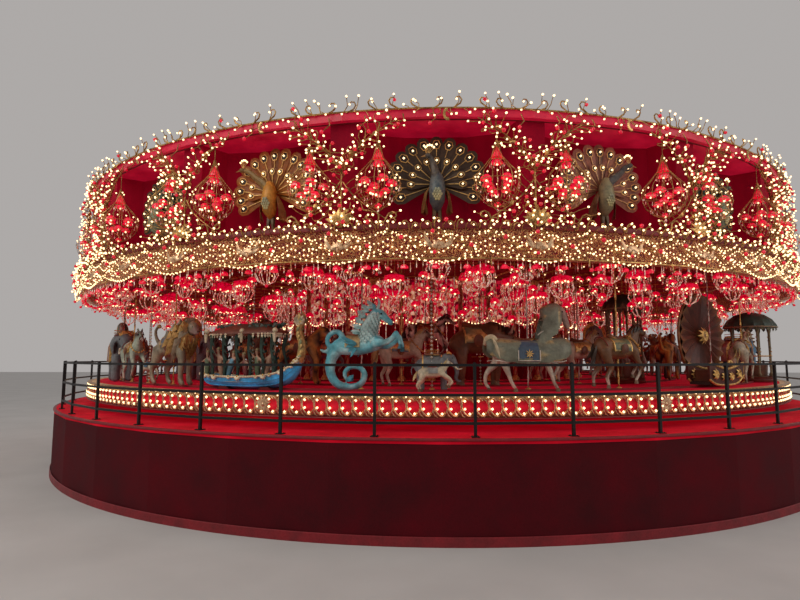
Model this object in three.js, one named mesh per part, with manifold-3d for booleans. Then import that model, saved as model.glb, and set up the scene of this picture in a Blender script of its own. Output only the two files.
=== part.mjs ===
// A large fairground carousel on its round plinth, in millimetres, +Z up.
// The origin is on the turning axis at the foot of the plinth. Azimuth 0 is the front, -Y,
// and azimuths grow counterclockwise seen from above, which is the way every figure faces.
import * as THREE from 'three';
import { mergeVertices } from 'three/addons/utils/BufferGeometryUtils.js';
import Module from 'manifold-3d';

const wasm = await Module();
wasm.setup();

// Driving dimensions
const gap = 0.3; // left between pieces that touch
const sectors = 20; // niches round the crown
const sectorAngle = 360 / sectors;
const ringSteps = 2 * sectors; // straight lengths in every ring

const plinthTop = 1500;
const plinthRadius = 10550;
const plinthWall = 200;
const plinthSlab = 80;
const coreRadius = 3000;
const kingPostRadius = 180;
const bearingRadius = 520;
const bearingHeight = 200;
const hubClearance = 8; // round the king post, and over it

const railBays = 44;
const railPhase = 2.8; // azimuth of the first post
const railRadius = 10400;
const railBar = 40;
const railPost = 44;
const railTop = 1082; // the posts stand a little above the top bar
const railHeights = [200, 610, 1050];

const deckTop = plinthTop + 585;
const deckThick = 60;
const deckRadius = 9700;
const rimRadius = 9850;
const rimMoulding = 30;
const rimChamfer = 40;
const rimBottom = plinthTop + 190;
const hubRadius = 600;
const beamDepth = 180;
const beamWidth = 90;
const beamCount = 10;
const beamEndGap = 60; // from the beam's end to the deck's edge

const drumRadius = 2200;
const drumWall = 60;

const shelfTop = plinthTop + 3280;
const shelfThick = 80;
const shelfInner = 8900;
const crownRadius = 10050;
const pillarFrontRadius = 9900;
const wallInner = 9000;
const nicheBack = 9170;
const nicheSide = 9380;
const nicheCorners = [3.4, 6.9, 7.6]; // azimuths of the back, side and front corners
const cornicePlate = 150;
const kerbInner = 9915;
const kerbOuter = 9985;
const tongueEnd = 9360;
const crownTop = plinthTop + 5200;
const bandRadius = 10150;
const bandInner = 9990;
const bandDepth = 500;

const roofEave = 9400;
const roofApex = plinthTop + 6600;
const roofThick = 50;
const mastRadius = 300;
const finialHeight = 620;

const outerRow = 9150;
const middleRow = 7350;
const innerRow = 5500;
const mountingHalf = 45; // of the rail that each row stands on
const mountingHeight = 40;
const poleWidth = 46;
const pairOffset = 100; // from the pole to the middle of the pony beside it
const kioskAzimuth = 36;
const shellRadius = 860;
const shellHeight = 1020; // its middle over the deck
const shellSides = 14;
const ceilingUnder = shelfTop - shelfThick;

const birdRadius = 9450;
const fanHeight = 4150; // heights over the plinth's top
const fanRadius = 800;
const fanFoot = 3620;
const fanSteps = 5;
const cageRadius = 9950;
const cageSide = 5.6; // azimuth from the niche's middle
const ornamentReach = 10750; // the outermost scroll tips
const quarterTurn = 89.99; // leaves a gap of under 2 mm between quarters

const colours = {
  carpet: [0x8c0d1a, 0.9, 0], black: [0x141414, 0.45, 0.3], gilt: [0xc79a3d, 0.35, 0.8],
  red: [0xb3121f, 0.5, 0], crimson: [0x7d0a1c, 0.8, 0], steel: [0x8a8c90, 0.4, 0.8],
  figures: [0x7f9a94, 0.5, 0], bird: [0x3b5c66, 0.5, 0], lamp: [0xd0203a, 0.3, 0],
  roof: [0x6e1018, 0.85, 0],
};

const root = new THREE.Group();
const base = new THREE.Group();
const turntable = new THREE.Group();
root.add(base, turntable);

function material(name) {
  const [color, roughness, metalness] = colours[name];
  return new THREE.MeshStandardMaterial({ color, roughness, metalness });
}

// A closed geometry as a solid, turned right side out if its faces point inward
function solid(geometry) {
  const bare = geometry.clone();
  bare.deleteAttribute('normal');
  bare.deleteAttribute('uv');
  const merged = mergeVertices(bare, 1e-3);
  const points = merged.attributes.position.array;
  const faces = Array.from(merged.index.array);
  const corner = [new THREE.Vector3(), new THREE.Vector3(), new THREE.Vector3()];
  const kept = [];
  let volume = 0;
  for (let i = 0; i < faces.length; i += 3) {
    const trio = [faces[i], faces[i + 1], faces[i + 2]];
    if (new Set(trio).size < 3) continue;
    kept.push(...trio);
    trio.forEach((v, k) => corner[k].fromArray(points, 3 * v));
    volume += corner[0].dot(corner[1].cross(corner[2]));
  }
  if (volume < 0) kept.reverse();
  return new wasm.Manifold(new wasm.Mesh({
    numProp: 3, vertProperties: new Float32Array(points), triVerts: new Uint32Array(kept),
  }));
}

function join(geometries) {
  return geometries.map(solid).reduce((a, b) => a.add(b));
}

function toGeometry(shape) {
  const mesh = shape.getMesh();
  const geometry = new THREE.BufferGeometry();
  geometry.setAttribute('position', new THREE.BufferAttribute(new Float32Array(mesh.vertProperties), 3));
  geometry.setIndex(Array.from(mesh.triVerts));
  geometry.computeVertexNormals();
  return geometry;
}

function piece(name, geometries, look, parent, azimuth = 0) {
  const mesh = new THREE.Mesh(toGeometry(join(geometries)), material(look));
  mesh.name = name;
  mesh.rotation.z = THREE.MathUtils.degToRad(azimuth);
  parent.add(mesh);
  return mesh;
}

// A closed outline of (radius, height) points turned about the axis
function turned(outline, steps = ringSteps) {
  const points = outline.map(([r, z]) => new THREE.Vector2(r, z));
  if (outline[0][0] > 0 || outline.at(-1)[0] > 0) points.push(points[0].clone());
  return new THREE.LatheGeometry(points, steps).rotateX(Math.PI / 2);
}

function ring(inner, outer, low, high, steps = ringSteps) {
  return turned([[inner, low], [outer, low], [outer, high], [inner, high]], steps);
}

function polar(radius, azimuth) {
  const a = THREE.MathUtils.degToRad(azimuth);
  return [radius * Math.sin(a), -radius * Math.cos(a)];
}

function extruded(points, low, high) {
  const shape = new THREE.Shape(points.map(([x, y]) => new THREE.Vector2(x, y)));
  return new THREE.ExtrudeGeometry(shape, { depth: high - low, bevelEnabled: false }).translate(0, 0, low);
}

// Part of a ring between two azimuths, in straight lengths
function arc(inner, outer, low, high, from, to, steps) {
  const outline = [];
  for (let i = 0; i <= steps; i++) outline.push(polar(outer, from + (to - from) * i / steps));
  for (let i = steps; i >= 0; i--) outline.push(polar(inner, from + (to - from) * i / steps));
  return extruded(outline, low, high);
}

function around(geometry, azimuth) {
  return geometry.clone().rotateZ(THREE.MathUtils.degToRad(azimuth));
}

function block(width, depth, low, high, x = 0, y = 0) {
  return new THREE.BoxGeometry(width, depth, high - low).translate(x, y, (low + high) / 2);
}

// A round pendant: (radius, height) points from its foot to its top, both on the axis
function pendant(outline, sides) {
  const points = outline.map(([r, z]) => new THREE.Vector2(r, z));
  return new THREE.LatheGeometry(points, sides).rotateX(Math.PI / 2);
}

// A flat outline in the X-Z plane with some thickness along Y
function plate(points, thick, y = 0) {
  const shape = new THREE.Shape(points.map(([x, z]) => new THREE.Vector2(x, z)));
  return new THREE.ExtrudeGeometry(shape, { depth: thick, bevelEnabled: false })
    .rotateX(Math.PI / 2).translate(0, y + thick / 2, 0);
}

// Plinth, guard rail and bearing
function buildPlinth() {
  const inner = plinthRadius - plinthWall;
  const postTop = deckTop - deckThick - hubClearance;
  piece('plinth_wall', [ring(inner, plinthRadius, 0, plinthTop - plinthSlab - gap)], 'carpet', base);
  piece('plinth_core', [ring(coreRadius - plinthWall, coreRadius, 0, plinthTop - plinthSlab - gap, sectors)],
    'carpet', base);
  piece('plinth_deck', [turned([[0, plinthTop - plinthSlab], [plinthRadius, plinthTop - plinthSlab],
    [plinthRadius, plinthTop], [0, plinthTop]])], 'carpet', base);
  piece('king_post', [turned([[0, plinthTop + gap], [bearingRadius, plinthTop + gap],
    [bearingRadius, plinthTop + bearingHeight], [kingPostRadius, plinthTop + bearingHeight],
    [kingPostRadius, postTop], [0, postTop]])], 'steel', base);
}

// The guard rail stands in four runs, each with a panel of its own at the end, in the middle of a side
function buildGuardRail() {
  const bay = 360 / railBays;
  const runBays = railBays / 4 - 1;
  const clear = THREE.MathUtils.radToDeg((railPost / 2 + gap) / railRadius);
  const [inner, outer] = [railRadius - railBar / 2, railRadius + railBar / 2];
  const panels = (first, bays) => {
    const shapes = [];
    for (let i = 0; i < bays; i++) {
      shapes.push(around(block(railPost, railPost, plinthTop + gap, plinthTop + railTop, 0, -railRadius),
        first + i * bay));
    }
    for (const height of railHeights) {
      const low = plinthTop + height - railBar / 2;
      shapes.push(arc(inner, outer, low, low + railBar, first, first + bays * bay - clear, bays));
    }
    return shapes;
  };
  ['right', 'back', 'left', 'front'].forEach((side, quarter) => {
    const first = railPhase + quarter * 90;
    piece(`guard_rail_${quarter + 1}`, panels(first, runBays), 'black', base);
    piece(`rail_panel_${side}`, panels(first + runBays * bay, 1), 'black', base);
  });
}

// Turntable: frame, deck and lit rim
function buildPlatform() {
  const under = deckTop - deckThick - gap;
  const hubFoot = plinthTop + bearingHeight + gap;
  const beams = [ring(kingPostRadius + hubClearance, hubRadius, hubFoot, under)];
  const reach = deckRadius - beamEndGap;
  const root = hubRadius - beamEndGap;
  for (let i = 0; i < beamCount; i++) {
    const beam = block(beamWidth, reach - root, under - beamDepth, under, 0, -(reach + root) / 2);
    beams.push(around(beam, i * 360 / beamCount));
  }
  piece('turntable_frame', beams, 'steel', turntable);
  piece('turntable_deck', [turned([[0, deckTop - deckThick], [deckRadius, deckTop - deckThick],
    [deckRadius, deckTop], [0, deckTop]])], 'carpet', turntable);
  const lip = rimRadius + rimMoulding;
  piece('rim_skirt', [turned([[deckRadius + gap, rimBottom], [lip, rimBottom],
    [rimRadius, rimBottom + rimChamfer], [rimRadius, deckTop - rimChamfer], [lip, deckTop],
    [deckRadius + gap, deckTop]])], 'red', turntable);
  piece('centre_drum', [ring(drumRadius - drumWall, drumRadius, deckTop + gap, ceilingUnder - gap, sectors)],
    'crimson', turntable);
}

// Ceiling, crown with its niches, cornices and roof
function buildCanopy() {
  piece('canopy_ceiling', [turned([[0, ceilingUnder], [shelfInner - gap, ceilingUnder],
    [shelfInner - gap, shelfTop], [0, shelfTop]])], 'crimson', turntable);
  piece('crown_shelf', [ring(shelfInner, crownRadius, ceilingUnder, shelfTop)], 'red', turntable);

  const outline = [];
  const [backCorner, sideCorner, frontCorner] = nicheCorners;
  const niche = [[-frontCorner, pillarFrontRadius], [-sideCorner, nicheSide], [-backCorner, nicheBack],
    [backCorner, nicheBack], [sideCorner, nicheSide], [frontCorner, pillarFrontRadius]];
  for (let i = 0; i < sectors; i++) {
    for (const [azimuth, radius] of niche) outline.push(polar(radius, azimuth + i * sectorAngle));
  }
  const shape = new THREE.Shape(outline.map(([x, y]) => new THREE.Vector2(x, y)));
  const hole = [];
  for (let i = 0; i < ringSteps; i++) hole.push(new THREE.Vector2(...polar(wallInner, i * 360 / ringSteps)));
  shape.holes.push(new THREE.Path(hole));
  const low = shelfTop + gap;
  const high = crownTop - cornicePlate - gap;
  piece('crown_wall', [new THREE.ExtrudeGeometry(shape, { depth: high - low, bevelEnabled: false })
    .translate(0, 0, low)], 'crimson', turntable);
  piece('crown_cornice', [ring(wallInner, crownRadius, crownTop - cornicePlate, crownTop)], 'red', turntable);
  piece('cornice_band', [ring(bandInner, bandRadius, ceilingUnder - gap - bandDepth, ceilingUnder - gap)],
    'gilt', turntable);
  const eave = crownTop + gap;
  piece('roof', [turned([[mastRadius + gap, roofApex - roofThick], [roofEave, eave],
    [roofEave, eave + roofThick], [mastRadius + gap, roofApex]], sectors)], 'roof', turntable);
  piece('roof_mast', [turned([[0, shelfTop + gap], [mastRadius, shelfTop + gap], [mastRadius, roofApex],
    [0, roofApex]], sectors)], 'steel', turntable);
  piece('finial', [turned([[0, roofApex + gap], [420, roofApex + gap], [380, roofApex + 120],
    [120, roofApex + 260], [200, roofApex + 420], [0, roofApex + finialHeight]], 10)], 'gilt', turntable);
}

// A figure cut from its side outline, with a half width of its own at each (x, z) corner
function carved(outline) {
  const shape = new THREE.Shape(outline.map(([x, z]) => new THREE.Vector2(x, z)));
  const flat = new THREE.ExtrudeGeometry(shape, { depth: 1, bevelEnabled: false });
  const place = flat.attributes.position;
  for (let i = 0; i < place.count; i++) {
    const [x, z] = [place.getX(i), place.getY(i)];
    const half = outline.find((corner) => Math.hypot(corner[0] - x, corner[1] - z) < 0.01)[2];
    place.setXYZ(i, x, place.getZ(i) > 0.5 ? -half : half, z);
  }
  return flat;
}

// Each figure faces +X, with its pole on the Z axis and its feet near height 0
const kinds = {
  horse: () => [carved([[-310, 60, 100], [-220, 60, 100], [-210, 390, 100], [-110, 570, 140], [160, 570, 140],
    [230, 360, 90], [290, 140, 80], [360, 140, 80], [340, 470, 100], [410, 680, 140], [540, 910, 90],
    [690, 940, 50], [710, 1030, 50], [510, 1200, 60], [380, 1160, 70], [220, 910, 130], [-90, 860, 160],
    [-360, 900, 150], [-500, 770, 70], [-580, 400, 60], [-500, 400, 60], [-360, 560, 120]])],
  draped: () => [carved([[-600, 20, 110], [-500, 20, 110], [-400, 330, 120], [-300, 470, 230],
    [320, 470, 230], [400, 280, 100], [470, 20, 100], [560, 20, 100], [520, 340, 110], [600, 520, 220],
    [680, 900, 180], [800, 1180, 80], [900, 1200, 60], [860, 1380, 90], [740, 1530, 150], [480, 1530, 170],
    [360, 850, 230], [-400, 850, 240], [-660, 760, 140], [-800, 420, 90], [-640, 400, 90]])],
  seaHorse: () => [carved([[-420, 40, 80], [-60, 40, 60], [40, 160, 50], [-140, 190, 60], [-300, 180, 90],
    [-360, 330, 140], [-140, 360, 190], [220, 440, 180], [420, 760, 90], [600, 560, 50], [690, 590, 50],
    [600, 900, 50], [340, 860, 120], [360, 1080, 110], [560, 1080, 60], [570, 1180, 60], [390, 1370, 80],
    [350, 1640, 20], [190, 1480, 70], [20, 1150, 130], [-100, 740, 180], [-440, 720, 120], [-640, 880, 70],
    [-800, 820, 70], [-760, 560, 80], [-600, 440, 110]])],
  boat: () => [carved([[-600, 10, 170], [450, 10, 170], [850, 150, 90], [1110, 560, 50], [1150, 1180, 40],
    [1080, 1370, 50], [960, 1300, 50], [960, 620, 60], [700, 300, 240], [-900, 230, 240], [-1080, 260, 160],
    [-900, 90, 180]]),
  block(90, 300, 210, 1000, -600), block(90, 300, 210, 1000, 500),
  carved([[-850, 960, 260], [700, 960, 260], [560, 1120, 180], [-60, 1250, 60], [-700, 1120, 180]])],
  elephant: () => [carved([[-420, 20, 180], [-180, 20, 180], [-160, 520, 200], [180, 520, 200],
    [220, 20, 170], [440, 20, 170], [470, 560, 200], [640, 700, 160], [640, 300, 60], [760, 300, 50],
    [820, 900, 130], [700, 1260, 200], [380, 1270, 240], [-200, 1200, 270], [-480, 1080, 230],
    [-560, 700, 190]])],
  cat: () => [carved([[-360, 40, 100], [-260, 40, 100], [-240, 420, 110], [240, 480, 130], [260, 40, 100],
    [370, 40, 100], [400, 520, 140], [620, 680, 130], [700, 900, 110], [600, 1180, 150], [280, 1220, 190],
    [120, 960, 170], [-340, 940, 160], [-640, 1150, 30], [-700, 1080, 30], [-460, 740, 120]])],
  goat: () => [carved([[-210, 120, 45], [-150, 90, 45], [-140, 280, 60], [100, 290, 80], [280, 170, 35],
    [320, 200, 35], [210, 360, 70], [290, 480, 50], [410, 500, 35], [410, 560, 35], [290, 630, 45],
    [170, 480, 80], [-170, 480, 85], [-280, 400, 50], [-250, 270, 50]])],
  // a small pony before a young elephant, one on each side of their pole
  pony: () => [carved([[-230, 80, 50], [-170, 50, 50], [-150, 170, 70], [110, 180, 90], [290, 90, 40],
    [350, 110, 40], [230, 230, 80], [310, 300, 60], [420, 320, 40], [420, 370, 40], [300, 420, 50],
    [180, 330, 90], [-180, 330, 100], [-300, 270, 60], [-280, 180, 60]]).translate(0, -pairOffset, 0),
  carved([[-240, 10, 100], [-100, 10, 100], [-90, 300, 120], [100, 300, 120], [130, 10, 100],
    [260, 10, 100], [270, 320, 120], [370, 400, 90], [370, 170, 40], [440, 170, 40], [480, 520, 80],
    [410, 730, 120], [220, 740, 140], [-120, 700, 160], [-280, 630, 130], [-320, 410, 110]])
    .translate(0, 1.4 * pairOffset, 0)],
  pavilion: () => [pendant([[0, 1290], [560, 1330], [420, 1560], [0, 1700]], 8), block(560, 60, 120, 1360),
    pendant([[0, 20], [470, 40], [470, 130], [0, 160]], 8)],
  kiosk: () => [pendant([[0, 1640], [480, 1680], [360, 1900], [0, 2060]], 8), block(480, 60, 120, 1700),
    pendant([[0, 20], [420, 40], [420, 130], [0, 160]], 8)],
  chariot: () => [carved([[-700, 60, 280], [620, 60, 280], [760, 420, 200], [520, 480, 280],
    [-650, 480, 280]]), plate(shellBack(), 60).translate(0, 250, 0)],
};

// The round shell that stands behind the chariot's seat
function shellBack() {
  const outline = [];
  for (let i = 0; i < shellSides; i++) {
    const a = 2 * Math.PI * i / shellSides;
    outline.push([shellRadius * Math.cos(a), shellHeight + shellRadius * Math.sin(a)]);
  }
  return outline;
}

// The front half in the order that stands there, repeated on the far side: kind and azimuth
const outerPlaces = [['horse', -86], ['cat', -77], ['draped', -67.5], ['elephant', -57.5], ['horse', -48.5],
  ['goat', -41.8], ['cat', -35.3], ['boat', -21.6], ['seaHorse', -8.2], ['pony', -0.6], ['draped', 9.8],
  ['horse', 20.8], ['chariot', 37.3], ['horse', 48.5], ['pavilion', 57.5], ['seaHorse', 67], ['elephant', 77],
  ['goat', 86.5]];

function pole() {
  return block(poleWidth, poleWidth, gap, ceilingUnder - gap - deckTop);
}

function mountingRail(radius, from, to, steps) {
  const [inner, outer] = [radius - mountingHalf, radius + mountingHalf];
  return arc(inner, outer, deckTop + gap, deckTop + mountingHeight, from, to, steps);
}

function standing(kind, radius, azimuth) {
  return [...kinds[kind](), pole()].map((g) => around(g.translate(0, -radius, deckTop), azimuth));
}

function buildOuterRow() {
  const perNode = 3;
  const all = [...outerPlaces, ...outerPlaces.map(([kind, azimuth]) => [kind, azimuth + 180])];
  for (let first = 0; first < all.length; first += perNode) {
    const set = all.slice(first, first + perNode);
    const middle = set[1][1];
    const shapes = set.flatMap(([kind, azimuth]) => standing(kind, outerRow, azimuth - middle));
    shapes.push(mountingRail(outerRow, set[0][1] - middle - 1, set[2][1] - middle + 1, 2 * perNode));
    const number = String(first / perNode + 1).padStart(2, '0');
    piece(`outer_figures_${number}`, shapes, 'figures', turntable, middle);
  }
}

// The rows behind stand closer and are plainer
function buildInnerRows() {
  const beast = [[-340, 60, 100], [-220, 60, 100], [-120, 560, 160], [200, 560, 160], [300, 60, 90],
    [400, 60, 90], [480, 760, 140], [720, 1080, 60], [480, 1330, 80], [220, 980, 160], [-420, 980, 170]];
  for (const [name, radius, count] of [['middle_figures', middleRow, 16], ['inner_figures', innerRow, 8]]) {
    const [inner, outer] = [radius - mountingHalf, radius + mountingHalf];
    const shapes = [ring(inner, outer, deckTop + gap, deckTop + mountingHeight, count)];
    for (let i = 0; i < count; i++) {
      for (const part of [carved(beast), pole()]) {
        shapes.push(around(part.translate(0, -radius, deckTop), i * 360 / count));
      }
    }
    if (radius === middleRow) {
      for (const azimuth of [kioskAzimuth, kioskAzimuth + 180]) {
        shapes.push(...standing('kiosk', middleRow, azimuth));
      }
    }
    piece(name, shapes, 'figures', turntable);
  }
}

// Crown ornaments: birds, cage lanterns and the scrollwork on the pillars
function bird() {
  const fan = [[0, fanFoot]];
  for (let i = 0; i <= fanSteps; i++) {
    const a = THREE.MathUtils.degToRad(-20 + i * 220 / fanSteps);
    fan.push([fanRadius * Math.cos(a), fanHeight + fanRadius * Math.sin(a)]);
  }
  const body = [[0, 3290], [110, 3290], [70, 3640], [170, 3860], [160, 4060], [80, 4420], [0, 4640]];
  return [plate(fan, 50).translate(0, 60, 0), pendant(body, 4).rotateZ(Math.PI / 4)]
    .map((g) => g.translate(0, -birdRadius, plinthTop));
}

// Each quarter of the birds stands on tongues of one kerb along the front of the niche floors
function buildBirds() {
  const low = shelfTop + gap;
  const tongue = THREE.MathUtils.radToDeg(130 / kerbInner);
  for (let quarter = 0; quarter < 4; quarter++) {
    const start = quarter * 90 - sectorAngle / 2;
    const outline = [];
    for (let i = 0; i <= 10; i++) outline.push(polar(kerbOuter, start + i * quarterTurn / 10));
    outline.push(polar(kerbInner, start + quarterTurn));
    const shapes = [];
    for (let i = 4; i >= 0; i--) {
      const azimuth = start + (i + 0.5) * sectorAngle;
      for (const [radius, side] of [[kerbInner, 1], [tongueEnd, 1], [tongueEnd, -1], [kerbInner, -1]]) {
        outline.push(polar(radius, azimuth + side * tongue));
      }
      if (i > 0) outline.push(polar(kerbInner, azimuth - sectorAngle / 2));
      shapes.push(...bird().map((g) => around(g, azimuth)));
    }
    outline.push(polar(kerbInner, start));
    piece(`birds_${quarter + 1}`, [extruded(outline, low, low + 40), ...shapes], 'bird', turntable);
  }
}

function buildCages() {
  const soffit = crownTop - cornicePlate - gap;
  const shapes = [ring(cageRadius - 25, cageRadius + 25, soffit - 40, soffit)];
  const outline = [[0, 3880], [300, 4220], [60, 4720], [25, 4980], [0, 5020]];
  for (let i = 0; i < sectors; i++) {
    for (const side of [-cageSide, cageSide]) {
      shapes.push(around(pendant(outline, 4).translate(0, -cageRadius, plinthTop), i * sectorAngle + side));
    }
  }
  piece('cage_lanterns', shapes, 'gilt', turntable);
}

// The mass of scrolls on a pillar, as (x, height, reach) corners: narrow at half height, spread
// wide above and below, and furthest out in the middle of its head and foot
function pillarScrolls() {
  const back = crownRadius + gap;
  const corners = [[-1050, 3300, 250], [0, 3340, 560], [1050, 3300, 250], [950, 3560, 300], [260, 4000, 280],
    [200, 4380, 280], [760, 4880, 330], [880, 5190, 330], [0, 5250, ornamentReach - back], [-880, 5190, 330],
    [-760, 4880, 330], [-200, 4380, 280], [-260, 4000, 280], [-950, 3560, 300]];
  const shape = new THREE.Shape(corners.map(([x, z]) => new THREE.Vector2(x, z)));
  const flat = new THREE.ExtrudeGeometry(shape, { depth: 1, bevelEnabled: false });
  const place = flat.attributes.position;
  for (let i = 0; i < place.count; i++) {
    const [x, z] = [place.getX(i), place.getY(i)];
    const reach = corners.find((corner) => Math.hypot(corner[0] - x, corner[1] - z) < 0.01)[2];
    place.setXYZ(i, x, -back - (place.getZ(i) > 0.5 ? reach : 0), z + plinthTop);
  }
  return flat;
}

function buildScrollwork() {
  const [inner, outer] = [crownRadius + gap, crownRadius + 70];
  for (let quarter = 0; quarter < 4; quarter++) {
    const start = quarter * 90;
    const shapes = [arc(inner, outer, crownTop - 90, crownTop, start, start + quarterTurn, 5 * 2)];
    for (let i = 0; i < 5; i++) {
      shapes.push(around(pillarScrolls(), start + (i + 0.5) * sectorAngle));
    }
    piece(`scrollwork_${quarter + 1}`, shapes, 'gilt', turntable);
  }
}

// Chandeliers under the ceiling, joined by the rail that they hang from
function buildChandeliers() {
  const rows = [['outer_chandeliers', 9620, 20, 900, 280], ['middle_chandeliers', 8200, 18, 1000, 330],
    ['inner_chandeliers', 6400, 10, 1100, 360]];
  for (const [name, radius, count, drop, wide] of rows) {
    const top = ceilingUnder - gap;
    const shapes = [ring(radius - 25, radius + 25, top - 40, top, count)];
    const outline = [[0, top - drop], [wide, top - drop * 0.55], [0, top - 10]];
    for (let i = 0; i < count; i++) {
      const hung = pendant(outline, 4).rotateZ(Math.PI / 4).translate(0, -radius, 0);
      shapes.push(around(hung, i * 360 / count));
    }
    piece(name, shapes, 'lamp', turntable);
  }
}

buildPlinth();
buildGuardRail();
buildPlatform();
buildCanopy();
buildOuterRow();
buildInnerRows();
buildBirds();
buildCages();
buildScrollwork();
buildChandeliers();

export default root;
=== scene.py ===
# A fairground carousel: its finishes, carved figures, lamps and gilt scrollwork.
import random
from math import acos, atan2, copysign, cos, hypot, pi, radians, sin, tau

import bpy
import numpy as np
from mathutils import Matrix, Vector, noise
from mathutils.kdtree import KDTree


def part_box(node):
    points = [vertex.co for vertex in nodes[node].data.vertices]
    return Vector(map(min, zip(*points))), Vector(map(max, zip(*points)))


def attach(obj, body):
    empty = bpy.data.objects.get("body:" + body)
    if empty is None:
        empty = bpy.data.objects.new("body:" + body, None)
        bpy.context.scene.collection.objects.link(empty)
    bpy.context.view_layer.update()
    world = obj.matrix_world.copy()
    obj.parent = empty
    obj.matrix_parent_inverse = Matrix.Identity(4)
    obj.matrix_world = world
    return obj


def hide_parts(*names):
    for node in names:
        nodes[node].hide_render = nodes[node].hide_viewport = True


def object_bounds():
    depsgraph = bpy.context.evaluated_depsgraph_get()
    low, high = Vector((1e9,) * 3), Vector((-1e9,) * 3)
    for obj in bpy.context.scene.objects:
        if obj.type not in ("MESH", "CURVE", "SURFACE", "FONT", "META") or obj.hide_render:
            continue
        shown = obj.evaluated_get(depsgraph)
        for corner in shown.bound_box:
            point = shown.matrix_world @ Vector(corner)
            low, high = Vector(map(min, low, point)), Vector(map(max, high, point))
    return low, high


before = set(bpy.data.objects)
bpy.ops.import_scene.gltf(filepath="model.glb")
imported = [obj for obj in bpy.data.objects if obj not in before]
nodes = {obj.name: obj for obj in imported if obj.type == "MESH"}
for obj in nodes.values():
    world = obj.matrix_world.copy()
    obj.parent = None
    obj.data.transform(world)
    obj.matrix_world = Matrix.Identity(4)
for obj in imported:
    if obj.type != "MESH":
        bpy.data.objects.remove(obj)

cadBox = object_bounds()
scene = bpy.context.scene
sectors = 20
sectorTurn = tau / sectors

# heights and radii that the frame gives, in metres
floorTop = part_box("plinth_deck")[1].z
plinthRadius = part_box("plinth_deck")[1].x
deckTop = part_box("turntable_deck")[1].z
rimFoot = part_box("rim_skirt")[0].z
rimHeight = 0.395    # of its red boards
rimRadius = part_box("rim_skirt")[1].x
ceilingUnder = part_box("canopy_ceiling")[0].z
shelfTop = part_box("crown_shelf")[1].z
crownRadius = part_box("crown_shelf")[1].x
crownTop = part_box("crown_cornice")[1].z
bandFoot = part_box("cornice_band")[0].z
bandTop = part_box("cornice_band")[1].z
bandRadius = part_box("cornice_band")[1].x
farthest = max(cadBox[1].x, cadBox[1].y)


def polar(radius, azimuth, height=0.0):
    # azimuth 0 is the front, -Y, and grows the way the figures face
    return Vector((radius * sin(azimuth), -radius * cos(azimuth), height))


def onCircle(radius, angle, height=0.0):
    # a point of a circle round the origin, its angle counted from the x axis
    return Vector((radius * cos(angle), radius * sin(angle), height))


def angles(count, phase=0.0):
    # equal steps round a circle, phase being a share of one step
    return [tau * (k + phase) / count for k in range(count)]


def vertical(height):
    return Vector((0, 0, height))


# sums on sockets
class Term:
    def __init__(self, tree, socket):
        self.tree, self.socket = tree, socket

    def out(self, name):
        return Term(self.tree, self.socket.node.outputs[name])

    def sum(self, operation, first, second=0.0):
        return self.tree.add("ShaderNodeMath", {"operation": operation}, {0: first, 1: second})

    def __add__(self, other):
        return self.sum("ADD", self, other)

    __radd__ = __add__

    def __sub__(self, other):
        return self.sum("SUBTRACT", self, other)

    def __rsub__(self, other):
        return self.sum("SUBTRACT", other, self)

    def __mul__(self, other):
        return self.sum("MULTIPLY", self, other)

    __rmul__ = __mul__

    def __truediv__(self, other):
        return self.sum("DIVIDE", self, other)

    def above(self, other):
        return self.sum("MAXIMUM", self, other)

    def wave(self):
        return self.sum("SINE", self)


class Tree:
    def __init__(self, group):
        self.group = group

    def feed(self, socket, value):
        if isinstance(value, Term):
            self.group.links.new(value.socket, socket)
        else:
            socket.default_value = value

    def add(self, kind, settings=None, inputs=None, output=0):
        node = self.group.nodes.new(kind)
        for name, value in (settings or {}).items():
            if name == "stops":
                while len(node.color_ramp.elements) < len(value):
                    node.color_ramp.elements.new(1.0)
                for stop, (place, colour) in zip(node.color_ramp.elements, value):
                    stop.position, stop.color = place, colour
            else:
                setattr(node, name, value)
        for name, value in (inputs or {}).items():
            self.feed(node.inputs[name], value)
        return Term(self, node.outputs[output]) if len(node.outputs) else None


# Geometry Nodes: shapes, rods and lamps, repeated round the axis
class Grower(Tree):
    def __init__(self, name):
        super().__init__(bpy.data.node_groups.new(name, "GeometryNodeTree"))
        self.group.interface.new_socket("Geometry", in_out="OUTPUT", socket_type="NodeSocketGeometry")
        self.entry = self.group.nodes.new("NodeGroupInput")

    def given(self, name, kind, value=None):
        socket = self.group.interface.new_socket(name, in_out="INPUT", socket_type="NodeSocket" + kind)
        if value is not None:
            socket.default_value = value
        return Term(self, self.entry.outputs[name])

    def shapeOf(self, name):
        return self.add("GeometryNodeObjectInfo", {}, {"Object": self.given(name, "Object")}).out("Geometry")

    def roundAxis(self, geometry):
        spots = self.add("GeometryNodeMeshLine", {},
                         {"Count": self.given("Count", "Int", 1), "Offset": (0, 0, 0)})
        first = self.given("First", "Float", 0.0)
        azimuth = first + self.add("GeometryNodeInputIndex") * self.given("Step", "Float")
        turn = self.add("ShaderNodeCombineXYZ", {}, {"Z": azimuth})
        return self.add("GeometryNodeInstanceOnPoints", {},
                        {"Points": spots, "Instance": geometry, "Rotation": turn})

    def finish(self, geometry):
        real = self.add("GeometryNodeRealizeInstances", {}, {"Geometry": self.roundAxis(geometry)})
        done = self.add("GeometryNodeSetMaterial", {},
                        {"Geometry": real, "Material": self.given("Finish", "Material")})
        self.add("NodeGroupOutput", {}, {"Geometry": done})
        return self


def repeatTree():
    tree = Grower("Repeat round the axis")
    return tree.finish(tree.shapeOf("Source"))


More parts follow.
